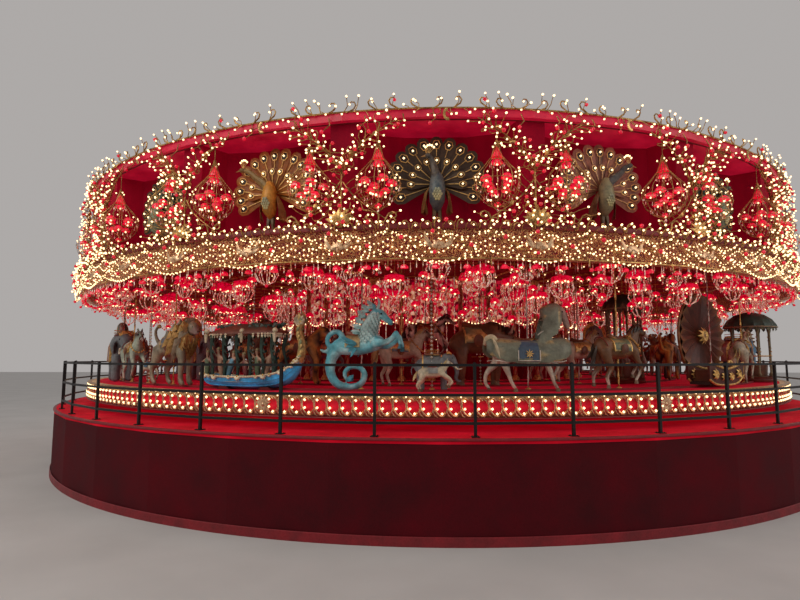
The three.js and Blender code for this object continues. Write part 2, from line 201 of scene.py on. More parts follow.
def rodTree():
    tree = Grower("Rods along curves")
    curves = tree.shapeOf("Source")
    section = tree.add("GeometryNodeCurvePrimitiveCircle", {}, {
        "Resolution": tree.given("Sides", "Int", 4), "Radius": tree.given("Thickness", "Float", 0.01)})
    rods = tree.add("GeometryNodeCurveToMesh", {}, {
        "Curve": curves, "Profile Curve": section, "Scale": tree.add("GeometryNodeInputRadius"),
        "Fill Caps": False})
    return tree.finish(tree.add("GeometryNodeSetShadeSmooth", {}, {"Geometry": rods}))


def lampTree():
    # a unit at each vertex of the source, its foot there and its axis along the vertex's aim
    tree = Grower("Lamps on points")
    aim = tree.add("GeometryNodeInputNamedAttribute", {"data_type": "FLOAT_VECTOR"}, {"Name": "aim"})
    size = tree.add("GeometryNodeInputNamedAttribute", {"data_type": "FLOAT"}, {"Name": "size"})
    turn = tree.add("FunctionNodeAlignRotationToVector", {"axis": "Z"}, {"Vector": aim})
    lamps = tree.add("GeometryNodeInstanceOnPoints", {}, {
        "Points": tree.shapeOf("Source"), "Instance": tree.shapeOf("Unit"), "Rotation": turn, "Scale": size})
    return tree.finish(lamps)


repeated, rods, lampsOn = repeatTree(), rodTree(), lampTree()
print("growing trees ready")


def grow(name, tree, finish, body="turntable", slot="gilt", **values):
    holder = bpy.data.objects.new(name, bpy.data.meshes.new(name))
    modifier = holder.modifiers.new("grow", "NODES")
    modifier.node_group = tree.group
    values["Finish"] = finish.material
    for socket in tree.group.interface.items_tree:
        if socket.in_out == "INPUT" and socket.name in values:
            modifier[socket.identifier] = values[socket.name]
    scene.collection.objects.link(holder)
    holder.data = bpy.data.meshes.new_from_object(holder.evaluated_get(bpy.context.evaluated_depsgraph_get()))
    holder.modifiers.clear()
    holder.data.name = name
    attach(holder, body)
    return holder


# meshes made point by point
plain = (0.8, 0.8, 0.8, 0.0)    # a coat is a colour, and how far it is gilded


class Shape:
    def __init__(self):
        self.points, self.faces, self.coats = [], [], []

    def add(self, points, faces, coat=plain):
        start = len(self.points)
        self.points += [tuple(point) for point in points]
        self.faces += [[start + corner for corner in face] for face in faces]
        self.coats += coat if isinstance(coat, list) else [coat] * len(points)
        return self

    def take(self, other, matrix=None):
        points = other.points
        if matrix is not None:
            points = [matrix @ Vector(point) for point in points]
        return self.add(points, other.faces, list(other.coats))

    def rings(self, rings, coat=plain, closed=True):
        # joins equal rings of points, with a fan of faces over each end
        sides = len(rings[0])
        points = [point for ring in rings for point in ring]
        faces = []
        for row in range(len(rings) - 1):
            for i in range(sides):
                j = (i + 1) % sides
                faces.append([row * sides + i, row * sides + j, (row + 1) * sides + j, (row + 1) * sides + i])
        if closed:
            for row, ends in ((0, -1), (len(rings) - 1, 1)):
                middle = sum((Vector(point) for point in rings[row]), Vector()) / sides
                points.append(middle)
                for i in range(sides):
                    j = (i + 1) % sides
                    pair = [row * sides + i, row * sides + j]
                    faces.append([len(points) - 1] + (pair if ends > 0 else pair[::-1]))
        return self.add(points, faces, coat)

    def tube(self, path, radii, sides=8, coat=plain, flat=1.0, blunt=True):
        # flat is the width across the side over the depth in the bend's plane
        path = [Vector(point) for point in path]
        if not hasattr(radii, "__len__"):
            radii = [radii] * len(path)
        radii = list(radii)
        if blunt:
            path = [path[0] - (path[1] - path[0]).normalized() * radii[0] * 0.5] + path
            path.append(path[-1] + (path[-1] - path[-2]).normalized() * radii[-1] * 0.5)
            radii = [radii[0] * 0.55] + radii + [radii[-1] * 0.55]
        side = None
        rings = []
        for i, point in enumerate(path):
            along = (path[min(i + 1, len(path) - 1)] - path[max(i - 1, 0)]).normalized()
            if side is None:
                side = Vector((0, 1, 0)) if abs(along.y) < 0.9 else Vector((1, 0, 0))
            side = (side - along * side.dot(along)).normalized()
            up = along.cross(side)
            rings.append([point + radii[i] * (side * cos(a) * flat + up * sin(a)) for a in angles(sides)])
        return self.rings(rings, coat)

    def turned(self, outline, sides, centre, coat):
        # (radius, height) from the foot to the top, round a vertical axis
        return self.rings([[Vector(centre) + onCircle(radius, a, height) for a in angles(sides)]
                           for radius, height in outline], coat)

    def spun(self, outline, sides=6, centre=(0, 0, 0), coat=plain):
        # as turned, but an end of no radius is one point, and an open end stays open
        points, faces, rows = [], [], []
        for radius, height in outline:
            count = sides if radius > 0 else 1
            rows.append((len(points), count))
            points += [Vector(centre) + onCircle(radius, tau * k / sides, height) for k in range(count)]
        for (low, few), (high, many) in zip(rows, rows[1:]):
            for k in range(sides):
                n = (k + 1) % sides
                face = [low + k % few, low + n % few, high + n % many, high + k % many]
                faces.append(list(dict.fromkeys(face)))
        return self.add(points, faces, coat)

    def ball(self, centre, size, sides=10, rows=6, coat=plain):
        size = size if hasattr(size, "__len__") else (size, size, size)
        rings = []
        for row in range(rows):
            a = pi * (row + 0.5) / rows
            rings.append([Vector(centre) + Vector((size[0] * sin(a) * cos(b), size[1] * sin(a) * sin(b),
                                                   -size[2] * cos(a))) for b in angles(sides)])
        return self.rings(rings, coat)

    def leaf(self, spine, width, up, coat=plain, fold=0.25):
        # a pointed leaf along its spine, folded down its middle and closed behind
        spine = [Vector(point) for point in spine]
        up = Vector(up).normalized()
        last = len(spine) - 1
        rings = []
        for i, point in enumerate(spine):
            along = (spine[min(i + 1, last)] - spine[max(i - 1, 0)]).normalized()
            side = along.cross(up).normalized()
            half = width * sin(pi * (0.12 + 0.86 * i / last)) ** 0.8
            out = side.cross(along)
            rings.append([point - side * half, point + out * half * fold, point + side * half,
                          point - out * half * fold * 0.6])
        return self.rings(rings, coat)

    def mesh(self, name, sharp=None):
        mesh = bpy.data.meshes.new(name)
        mesh.from_pydata(self.points, [], self.faces)
        coat = mesh.color_attributes.new("coat", "FLOAT_COLOR", "POINT")
        coat.data.foreach_set("color", np.array(self.coats, np.float32).ravel())
        mesh.validate()
        mesh.polygons.foreach_set("use_smooth", [True] * len(mesh.polygons))
        if sharp is not None:
            mesh.set_sharp_from_angle(angle=sharp)
        mesh.update()
        return mesh


units = []    # shapes that only the trees use, taken away before the end


def unit(name, shape, sharp=0.7):
    units.append(bpy.data.objects.new(name, shape.mesh(name, sharp)))
    return units[-1]


def curves(name, lines):
    # lines are lists of (point, radius)
    data = bpy.data.curves.new(name, "CURVE")
    data.dimensions = "3D"
    for line in lines:
        spline = data.splines.new("POLY")
        spline.points.add(len(line) - 1)
        for spot, (point, radius) in zip(spline.points, line):
            spot.co = (*point, 1)
            spot.radius = radius
    units.append(bpy.data.objects.new(name, data))
    return units[-1]


def spots(name, lamps):
    # lamps are (place, aim, size)
    mesh = bpy.data.meshes.new(name)
    mesh.from_pydata([tuple(place) for place, _aim, _size in lamps], [], [])
    aims = mesh.attributes.new("aim", "FLOAT_VECTOR", "POINT")
    aims.data.foreach_set("vector", [part for _place, aim, _size in lamps for part in aim])
    sizes = mesh.attributes.new("size", "FLOAT", "POINT")
    sizes.data.foreach_set("value", [size for _place, _aim, size in lamps])
    units.append(bpy.data.objects.new(name, mesh))
    return units[-1]


def piece(name, shape, finish, body="turntable", replaces=(), sharp=0.7):
    made = bpy.data.objects.new(name, shape.mesh(name, sharp) if isinstance(shape, Shape) else shape)
    scene.collection.objects.link(made)
    made.data.materials.clear()
    made.data.materials.append(finish.material)
    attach(made, body)
    if replaces:
        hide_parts(*replaces)
    return made


def repeats(count, first=0.0):
    return {"Count": count, "Step": tau / count, "First": first}


def copies(name, shape, finish, body="turntable", slot="gilt", **turns):
    return grow(name, repeated, finish, body, slot, Source=unit(name + "Unit", shape), **turns)


def wires(name, lines, thickness, finish, slot="gilt", **turns):
    return grow(name, rods, finish, slot=slot, Source=curves(name + "Lines", lines), Sides=3,
                Thickness=thickness, **turns)


def repaint(finish, *names):
    for name in names:
        nodes[name].data.materials.clear()
        nodes[name].data.materials.append(finish.material)


# finishes
class Finish(Tree):
    def __init__(self, name):
        self.material = bpy.data.materials.new(name)
        self.material.use_nodes = True
        super().__init__(self.material.node_tree)
        self.shader = self.group.nodes["Principled BSDF"]
        self.place = self.add("ShaderNodeTexCoord").out("Object")

    def noise(self, scale, detail=3.0, roughness=0.55, stretch=None):
        place = self.place
        if stretch:
            place = self.add("ShaderNodeVectorMath", {"operation": "MULTIPLY"}, {0: place, 1: stretch})
        return self.add("ShaderNodeTexNoise", {}, {
            "Vector": place, "Scale": scale, "Detail": detail, "Roughness": roughness})

    def ramp(self, value, *stops):
        stops = [(place, (*colour, 1)) for place, colour in stops]
        return self.add("ShaderNodeValToRGB", {"stops": stops}, {"Fac": value})

    def grey(self, value, low, high, first=0.3, second=0.7):
        # value from first to second, laid out from low to high
        return self.add("ShaderNodeMapRange", {}, {"Value": value, "From Min": first, "From Max": second,
                                                   "To Min": low, "To Max": high})

    def mix(self, share, first, second, kind="MIX"):
        return self.add("ShaderNodeMix", {"data_type": "RGBA", "blend_type": kind, "clamp_result": False},
                        {0: share, 6: first, 7: second}, 2)

    def bump(self, height, strength, distance):
        normal = self.add("ShaderNodeBump", {},
                          {"Strength": strength, "Distance": distance, "Height": height})
        self.feed(self.shader.inputs["Normal"], normal)

    def set(self, values):
        for name, value in values.items():
            self.feed(self.shader.inputs[name], value)
        return self


def carpetFinish(name, deep, bright):
    look = Finish(name)
    patch = look.noise(1.1, 5.0, 0.6)
    pile = look.noise(170.0, 2.0, 0.7)
    tuft = look.noise(38.0, 3.0)
    colour = look.ramp(patch, (0.3, deep), (0.72, bright))
    shade = look.grey(pile * 0.6 + tuft * 0.4, 0.72, 1.12)
    look.bump(pile + tuft * 0.6, 0.55, 0.006)
    return look.set({"Base Color": look.mix(1.0, colour, shade, "MULTIPLY"),
                     "Roughness": look.grey(patch, 0.78, 0.95), "Specular IOR Level": 0.2})


def railFinish():
    look = Finish("blackRailPaint")
    wear = look.noise(26.0, 5.0, 0.7)
    grain = look.noise(190.0, 2.0)
    look.bump(grain, 0.18, 0.002)
    return look.set({"Base Color": look.ramp(wear, (0.35, (0.004, 0.004, 0.0045)),
                                             (0.62, (0.009, 0.008, 0.008)), (0.8, (0.03, 0.026, 0.024))),
                     "Roughness": look.grey(wear, 0.35, 0.6), "Specular IOR Level": 0.3})


def enamelFinish(name, deep, bright, rough=0.3, coat=0.5):
    look = Finish(name)
    cloud = look.noise(3.5, 5.0, 0.6)
    dust = look.noise(34.0, 4.0, 0.65)
    colour = look.ramp(cloud, (0.3, deep), (0.7, bright))
    look.bump(dust, 0.12, 0.004)
    return look.set({"Base Color": look.mix(look.grey(dust, 0.0, 0.35, 0.5, 0.8), colour,
                                            (*(c * 0.35 for c in deep), 1)),
                     "Roughness": look.grey(dust, rough, rough + 0.25), "Coat Weight": coat,
                     "Coat Roughness": 0.15})


def gildingFinish(name, bright, dull, dark):
    look = Finish(name)
    rub = look.noise(9.0, 5.0, 0.65)
    fine = look.noise(70.0, 3.0, 0.6)
    colour = look.ramp(rub * 0.6 + fine * 0.4, (0.34, dark), (0.47, dull), (0.6, bright))
    look.bump(fine + rub, 0.35, 0.006)
    return look.set({"Base Color": colour, "Metallic": look.grey(rub, 0.55, 0.95),
                     "Roughness": look.grey(fine, 0.22, 0.5)})


def velvetFinish(name, deep, bright, glow=0.0):
    look = Finish(name)
    drape = look.noise(1.6, 4.0, 0.55, (1.0, 1.0, 0.25))
    nap = look.noise(120.0, 2.0, 0.7)
    look.bump(nap * 0.5 + drape, 0.3, 0.02)
    colour = look.ramp(drape, (0.3, deep), (0.7, bright))
    # a glow above nought is painted light: the velvet shines in its own colour as if lamplight fell on it
    return look.set({"Base Color": colour, "Roughness": look.grey(nap, 0.75, 0.95),
                     "Specular IOR Level": 0.15, "Sheen Weight": 0.12, "Sheen Roughness": 0.35,
                     "Sheen Tint": (1.0, 0.1, 0.15, 1.0), "Emission Color": colour,
                     "Emission Strength": glow})


def mosaicFinish(name, scale, glow, pale=0.0):
    # cut glass, gold and red enamel in small cells; their glow is painted light, the shimmer of the lamps on
    # them
    look = Finish(name)
    cells = look.add("ShaderNodeTexVoronoi", {}, {"Vector": look.place, "Scale": scale})
    chance = look.add("ShaderNodeSeparateColor", {}, {"Color": cells.out("Color")})
    coarse = look.noise(2.2, 4.0, 0.6)
    pick = chance * 0.75 + look.grey(coarse, pale, 0.25 + pale)
    colour = look.ramp(pick, (0.0, (0.05, 0.0, 0.004)), (0.3, (0.2, 0.0, 0.012)), (0.42, (0.6, 0.0, 0.03)),
                       (0.6, (0.75, 0.02, 0.06)), (0.68, (0.55, 0.22, 0.1)), (0.82, (0.85, 0.5, 0.33)),
                       (0.93, (1.0, 0.85, 0.7)))
    look.bump(cells, 0.4, 0.02)
    return look.set({"Base Color": colour, "Roughness": look.grey(coarse, 0.2, 0.45),
                     "Emission Color": colour, "Emission Strength": glow})


def filigreeFinish():
    # gilt scrolls in relief over red boards
    look = Finish("giltFiligree")
    warp = look.noise(4.0, 3.0, 0.6)
    place = look.add("ShaderNodeVectorMath", {"operation": "MULTIPLY_ADD"},
                     {0: warp.out("Color"), 1: (0.3, 0.3, 0.3), 2: look.place})
    rings = look.add("ShaderNodeTexVoronoi", {"feature": "DISTANCE_TO_EDGE"},
                     {"Vector": place, "Scale": 11.0})
    hooks = look.add("ShaderNodeTexVoronoi", {}, {"Vector": place, "Scale": 7.0})
    wave = (hooks * 34.0).wave()
    relief = wave.above(look.grey(rings, 1.0, -1.0, 0.0, 0.2))
    fine = look.noise(60.0, 3.0)
    colour = look.ramp(relief * 0.5 + 0.5, (0.45, (0.16, 0.0, 0.008)), (0.68, (0.34, 0.01, 0.02)),
                       (0.8, (0.33, 0.08, 0.03)), (0.92, (0.5, 0.22, 0.08)), (1.0, (0.8, 0.5, 0.24)))
    look.bump(relief, 0.7, 0.02)
    # the faint glow is painted light, the band lit by its own lamps
    return look.set({"Base Color": colour, "Metallic": look.grey(relief, 0.1, 0.75, -0.2, 0.6),
                     "Roughness": look.grey(fine, 0.25, 0.5), "Emission Color": colour,
                     "Emission Strength": 0.05})


def rimFinish():
    # red boards that go near black and brown along the foot, painted shade, and turn to worn gilt along the
    # top; their glow is painted light from the rim's lamps
    look = Finish("rimBoards")
    height = look.add("ShaderNodeSeparateXYZ", {}, {"Vector": look.place}).out("Z")
    cloud, leaf = look.noise(3.0, 4.0, 0.6), look.noise(24.0, 3.0, 0.6)
    colour = look.ramp((height - rimFoot) / rimHeight + leaf * 0.3 - 0.15, (0.03, (0.06, 0.008, 0.006)),
                       (0.17, (0.2, 0.05, 0.02)), (0.27, (0.42, 0.002, 0.012)), (0.5, (0.75, 0.004, 0.03)),
                       (0.7, (0.5, 0.002, 0.015)), (0.8, (0.34, 0.12, 0.05)), (0.95, (0.55, 0.36, 0.18)))
    look.bump(leaf, 0.4, 0.01)
    return look.set({"Base Color": colour, "Roughness": look.grey(cloud, 0.4, 0.65),
                     "Specular IOR Level": 0.3, "Emission Color": colour, "Emission Strength": 0.18})


def soffitFinish():
    # the red boards over the niches, lit by the lamps under them
    look = Finish("litSoffit")
    cloud = look.noise(2.2, 4.0, 0.6)
    colour = look.ramp(cloud, (0.3, (0.36, 0.002, 0.02)), (0.7, (0.6, 0.008, 0.045)))
    return look.set({"Base Color": colour, "Roughness": look.grey(cloud, 0.35, 0.6), "Emission Color": colour,
                     "Emission Strength": 0.36})


def lampFinish(name, colour, strength):
    look = Finish(name)
    bright = look.noise(11.0, 1.0)
    glow = look.ramp(bright, (0.3, tuple(c * 0.86 for c in colour)), (0.7, colour))
    look.material.cycles.emission_sampling = "NONE"
    return look.set({"Base Color": glow, "Roughness": look.grey(bright, 0.15, 0.3), "Emission Color": glow,
                     "Emission Strength": strength})


def glassFinish(name, deep, bright, glow, rough=0.12):
    look = Finish(name)
    streak = look.noise(22.0, 3.0, 0.6)
    colour = look.ramp(streak, (0.35, deep), (0.65, bright))
    return look.set({"Base Color": colour, "Roughness": look.grey(streak, rough, rough + 0.2),
                     "Coat Weight": 0.8, "Coat Roughness": 0.05, "Emission Color": colour,
                     "Emission Strength": glow})


def carvedFinish():
    # aged gloss paint over carving, in the colours that each figure's points hold
    look = Finish("carvedPaint")
    coat = look.add("ShaderNodeAttribute", {"attribute_name": "coat"})
    gilded = coat.out("Alpha")
    brush = look.noise(14.0, 5.0, 0.65)
    craze = look.noise(90.0, 3.0, 0.7)
    grime = look.noise(4.5, 4.0, 0.6)
    shade = look.grey(brush * 0.7 + craze * 0.3, 0.62, 1.18)
    painted = look.mix(1.0, coat, shade, "MULTIPLY")
    soiled = look.mix(look.grey(grime, 0.0, 0.5, 0.48, 0.72), painted, (0.035, 0.022, 0.012, 1))
    gold = look.ramp(brush, (0.35, (0.28, 0.13, 0.03)), (0.55, (0.85, 0.55, 0.18)))
    look.bump(craze + brush * 1.5, 0.35, 0.006)
    return look.set({"Base Color": look.mix(gilded, soiled, gold), "Metallic": gilded * 0.85,
                     "Roughness": look.grey(craze, 0.34, 0.6), "Specular IOR Level": 0.3, "Coat Weight": 0.1,
                     "Coat Roughness": 0.2})


# the plinth's wall carpet is far darker than the walkway's: painted shade on the wall
wallCarpet = carpetFinish("wallCarpet", (0.055, 0.0, 0.003), (0.11, 0.001, 0.006))
# the walkway's glow is painted light, from the lamps of the rim shining on it
walkCarpet = velvetFinish("walkCarpet", (0.42, 0.001, 0.01), (0.66, 0.002, 0.02), 0.22)
rimRed = rimFinish()
darkRed = enamelFinish("darkRedPaint", (0.14, 0.001, 0.005), (0.26, 0.002, 0.01), 0.5, 0.1)
roofRed = enamelFinish("roofPaint", (0.14, 0.002, 0.006), (0.25, 0.005, 0.012), 0.7, 0.02)
steelDark = enamelFinish("darkSteelPaint", (0.03, 0.03, 0.032), (0.07, 0.07, 0.075), 0.45)
gilt = gildingFinish("wornGilding", (0.8, 0.52, 0.2), (0.4, 0.23, 0.075), (0.09, 0.045, 0.018))
paleGilt = gildingFinish("paleGilding", (0.95, 0.68, 0.42), (0.6, 0.36, 0.2), (0.2, 0.1, 0.05))
velvet = velvetFinish("crimsonVelvet", (0.16, 0.001, 0.01), (0.34, 0.004, 0.03))
# the niche walls and the turntable's deck glow a little: painted light from the lamps round them
nicheVelvet = velvetFinish("nicheVelvet", (0.2, 0.0, 0.012), (0.34, 0.001, 0.02), 0.14)
deckPile = velvetFinish("deckPile", (0.5, 0.001, 0.02), (0.75, 0.004, 0.035), 0.14)
mosaic = mosaicFinish("litMosaic", 13.0, 0.4)
filigree = filigreeFinish()
litSoffit = soffitFinish()
bulbGlow = lampFinish("lampWarm", (1.0, 0.7, 0.37), 2.7)
redGlobe = glassFinish("redGlass", (0.35, 0.0, 0.01), (0.7, 0.0, 0.03), 0.7, 0.06)
shadeRed = glassFinish("redShadeGlass", (0.45, 0.0, 0.01), (0.85, 0.003, 0.05), 0.7, 0.2)
# the crystal's glow is painted light, the glitter of the lamps in the cut glass
crystal = mosaicFinish("crystalDrops", 46.0, 0.3, 0.22)
carved = carvedFinish()
railBlack = railFinish()
print("finishes ready")

# camera, light and floor
shot = {"lens": 25.2, "sensor": 36, "place": (-0.3276, -18.767, 2.648), "tilt": 95.96, "pan": 1.84}
camera = bpy.data.objects.new("camera", bpy.data.cameras.new("camera"))
camera.data.lens = shot["lens"]
camera.data.sensor_width = shot["sensor"]
camera.location = shot["place"]
camera.rotation_euler = (radians(shot["tilt"]), 0, radians(shot["pan"]))
scene.collection.objects.link(camera)
scene.camera = camera
scene.view_settings.view_transform = "Standard"

studio = {"world": (0.42, 0.4, 0.39), "key": 1500, "fill": 700, "aim": (0, 0, 4), "floor": 90, "gap": 0.002}
world = bpy.data.worlds.new("studio")
scene.world = world
world.use_nodes = True
world.node_tree.nodes["Background"].inputs["Color"].default_value = (*studio["world"], 1)
for name, place, size, power, colour in (
    ("keyLight", (-14, -20, 16), 12, studio["key"], (1.0, 0.95, 0.88)),
    ("fillLight", (18, -16, 10), 12, studio["fill"], (1.0, 0.9, 0.86)),
    ("backLight", (0, 20, 14), 12, studio["fill"], (1.0, 0.95, 0.92)),
):
    light = bpy.data.lights.new(name, "AREA")
    light.size, light.energy, light.color = size, power, colour
    holder = bpy.data.objects.new(name, light)
    holder.location = place
    holder.rotation_euler = (Vector(studio["aim"]) - Vector(place)).to_track_quat("-Z", "Y").to_euler()
    scene.collection.objects.link(holder)

ground = Finish("paleFloor")
ground.set({"Base Color": ground.ramp(ground.noise(0.6), (0.3, (0.5, 0.49, 0.48)), (0.7, (0.56, 0.55, 0.54))),
            "Roughness": 0.85})
floorMesh = bpy.data.meshes.new("floor")
wide = studio["floor"]
corners = ((-wide, -wide), (wide, -wide), (wide, wide), (-wide, wide))
floorMesh.from_pydata([(x, y, -studio["gap"]) for x, y in corners], [], [(0, 1, 2, 3)])
floorMesh.materials.append(ground.material)
floor = bpy.data.objects.new("floor", floorMesh)
scene.collection.objects.link(floor)

# CAD nodes that keep their shape
repaint(wallCarpet, "plinth_wall", "plinth_core")
repaint(walkCarpet, "plinth_deck")
repaint(deckPile, "turntable_deck")
repaint(railBlack, *(name for name in nodes if name.startswith(("guard_rail", "rail_panel"))))
repaint(steelDark, "king_post", "turntable_frame", "roof_mast")
repaint(rimRed, "rim_skirt")
repaint(velvet, "canopy_ceiling")
repaint(mosaic, "centre_drum")
repaint(nicheVelvet, "crown_wall", "crown_shelf")
repaint(litSoffit, "crown_cornice")
repaint(filigree, "cornice_band")
repaint(roofRed, "roof")


def lathed(name, at, outline, finish, body="turntable", steps=240):
    # a closed ring of (radius, height) points, both counted from at
    shape = Shape()
    points, faces = [], []
    size = len(outline)
    for i in range(steps):
        points += [polar(at[0] + radius, tau * i / steps, at[1] + height) for radius, height in outline]
        for k in range(size):
            j, n = (i + 1) % steps, (k + 1) % size
            faces.append([i * size + k, j * size + k, j * size + n, i * size + n])
    shape.add(points, faces)
    return piece(name, shape, finish, body, sharp=0.5)


# lamps: drops of glass standing on their own axes
def lampUnits():
    glass = Shape().spun([(0.0, -0.006), (0.024, 0.014), (0.019, 0.037), (0.0, 0.047)], 4)
    globe = Shape().spun([(0.0, 0.0), (0.036, 0.016), (0.044, 0.042), (0.03, 0.07), (0.0, 0.082)], 5)
    bead = Shape().spun([(0.0, -0.004), (0.018, 0.014), (0.0, 0.032)], 4)
    return unit("lampGlass", glass, None), unit("globeGlass", globe, None), unit("beadGlass", bead, None)


lampGlass, globeGlass, beadGlass = lampUnits()


def dropOn(shape, at, long, wide=0.012, sides=3):
    # a cut drop of crystal hung from a point
    shape.spun([(0.0, -long), (wide, -0.68 * long), (0.0, 0.0)], sides, at)


def lampSet(name, lamps, finish=bulbGlow, glass=lampGlass, slot="gilt", **turns):
    grow(name, lampsOn, finish, slot=slot, Source=spots(name + "Spots", lamps), Unit=glass, **turns)


# plinth: nosing, skirting and the feet of the rail
plinth = {"nosing": 0.03, "skirting": 0.14, "footSize": 0.12, "footThick": 0.012, "posts": 44,
          "firstPost": 2.8, "railRadius": 10.4, "postHalf": 0.0225}


def dressPlinth():
    lip, skirting = plinth["nosing"], plinth["skirting"]
    lathed("plinthNosing", (plinthRadius, floorTop),
           [(-0.05, 0.001), (0.004, 0.001), (0.012, -0.008), (0.012, -lip),
            (0.002, -lip - 0.01), (-0.01, -0.01)],
           darkRed, "base")
    lathed("plinthSkirting", (plinthRadius, 0.0), [(0.001, 0.0), (0.014, 0.0), (0.014, skirting - 0.01),
                                                   (0.001, skirting)], darkRed, "base")
    half, thick, post = plinth["footSize"] / 2, plinth["footThick"], plinth["postHalf"]
    radius = plinth["railRadius"]
    foot = Shape()
    # a flat foot in four parts round its post, four screws and the post's cap
    for x0, x1, y0, y1 in ((-half, half, -half, -post), (-half, half, post, half),
                           (-half, -post, -post, post), (post, half, -post, post)):
        corners = [(x0, y0), (x1, y0), (x1, y1), (x0, y1)]
        foot.rings([[Vector((x, y - radius, floorTop + 0.0006 + z)) for x, y in corners] for z in (0, thick)])
    for x in (-1, 1):
        for y in (-1, 1):
            foot.spun([(0.011, thick), (0.011, thick + 0.008), (0.0, thick + 0.011)], 5,
                      (x * half * 0.68, y * half * 0.68 - radius, floorTop))
    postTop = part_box("guard_rail_1")[1].z
    foot.spun([(0.024, 0.0), (0.027, 0.006), (0.0, 0.016)], 7, (0, -radius, postTop - 0.001))
    copies("railFeet", foot, railBlack, "base", "black_rail",
           **repeats(plinth["posts"], radians(plinth["firstPost"])))


dressPlinth()
print("plinth dressed")

# rim: red boards with slanting gilt scrolls and three rows of lamps
rim = {"bays": 288, "scroll": 0.0175, "crossings": 9, "firstCrossing": -17.1}


def dressRim():
    radius = rimRadius - 0.03
    low = rimFoot
    turns = repeats(rim["bays"])

    def on(x, z, out=0.012):
        # a point of a flat drawing, wrapped on the rim at the front
        return polar(radius + out, x / radius, low + z)

    lathed("rimMouldings", (radius, low),
           [(0.002, 0.385), (0.034, 0.377), (0.04, 0.391), (0.034, 0.402), (-0.06, 0.402),
            (-0.06, 0.396), (0.002, 0.396)], gilt, "turntable")
    lathed("rimFoot", (radius, low),
           [(0.002, 0.001), (0.03, 0.001), (0.037, 0.012), (0.03, 0.026), (0.002, 0.034)], darkRed,
           "turntable")
    # one bay's scroll: over the upper lamp, down its left, and under the lower lamp to the right
    stem = [(0.035, 0.3), (0.012, 0.335), (-0.035, 0.34), (-0.072, 0.295), (-0.082, 0.225), (-0.07, 0.155),
            (-0.035, 0.1), (0.012, 0.06), (0.058, 0.052), (0.09, 0.082), (0.082, 0.118)]
    shoot = [(-0.03, 0.352), (0.04, 0.34), (0.09, 0.3), (0.118, 0.245)]
    twig = [(-0.08, 0.19), (-0.1, 0.125), (-0.072, 0.068), (-0.025, 0.04)]
    lines = []
    for path, thick in ((stem, 1.0), (shoot, 0.75), (twig, 0.75)):
        last = len(path) - 1
        lines.append([(on(x, z), thick * (0.55 + 0.7 * sin(pi * i / last))) for i, (x, z) in enumerate(path)])
    wires("rimScrolls", lines, rim["scroll"], paleGilt, "rim_red", **turns)
    leaves = Shape()
    for x, z, dx, dz, width in ((-0.075, 0.305, 0.055, 0.04, 0.016), (0.088, 0.062, -0.004, 0.07, 0.015),
                                (0.045, 0.352, 0.075, -0.035, 0.014)):
        tip, root = on(x + dx, z + dz, 0.014), on(x, z, 0.014)
        side = Vector((-dz, 0, dx)).normalized() * width
        belly = root.lerp(tip, 0.5) + Vector((0, -0.014, 0))
        leaves.add([root, belly - side, belly + Vector((0, -0.01, 0)), belly + side, tip],
                   [[0, 1, 2], [0, 2, 3], [1, 4, 2], [2, 4, 3], [0, 3, 4, 1]])
    copies("rimLeaves", leaves, gilt, slot="rim_red", **turns)
    lampSet("rimLamps", [(on(x, z, 0.006), (0, -1, aim), 0.95) for x, z, aim in
                         ((-0.03, 0.288, 0.25), (-0.028, 0.172, -0.1), (0.046, 0.1, -0.25))], **turns)
    lampSet("rimBeads", [(on(-0.088, 0.352), (0, -1, 0.2), 0.85)], glass=beadGlass, **turns)
    # crossings of leaves stand between some of the scrolls
    cross, middle = Shape(), 0.2
    for hand in (-1, 1):
        for rise in (-1, 1):
            for reach, swing in ((0.17, 0.25), (0.18, 0.75), (0.15, 1.25)):
                x, z = hand * reach * sin(swing), middle + rise * reach * cos(swing)
                cross.leaf([on(0, middle), on(x * 0.62, middle + (z - middle) * 0.5, 0.036), on(x, z, 0.014)],
                           0.026, (0, -1, 0))
    cross.ball(on(0, middle, 0.02), (0.034, 0.025, 0.034), 7, 4)
    copies("rimCrossings", cross, paleGilt, slot="rim_red",
           **repeats(rim["crossings"], radians(rim["firstCrossing"])))


dressRim()
print("rim dressed")

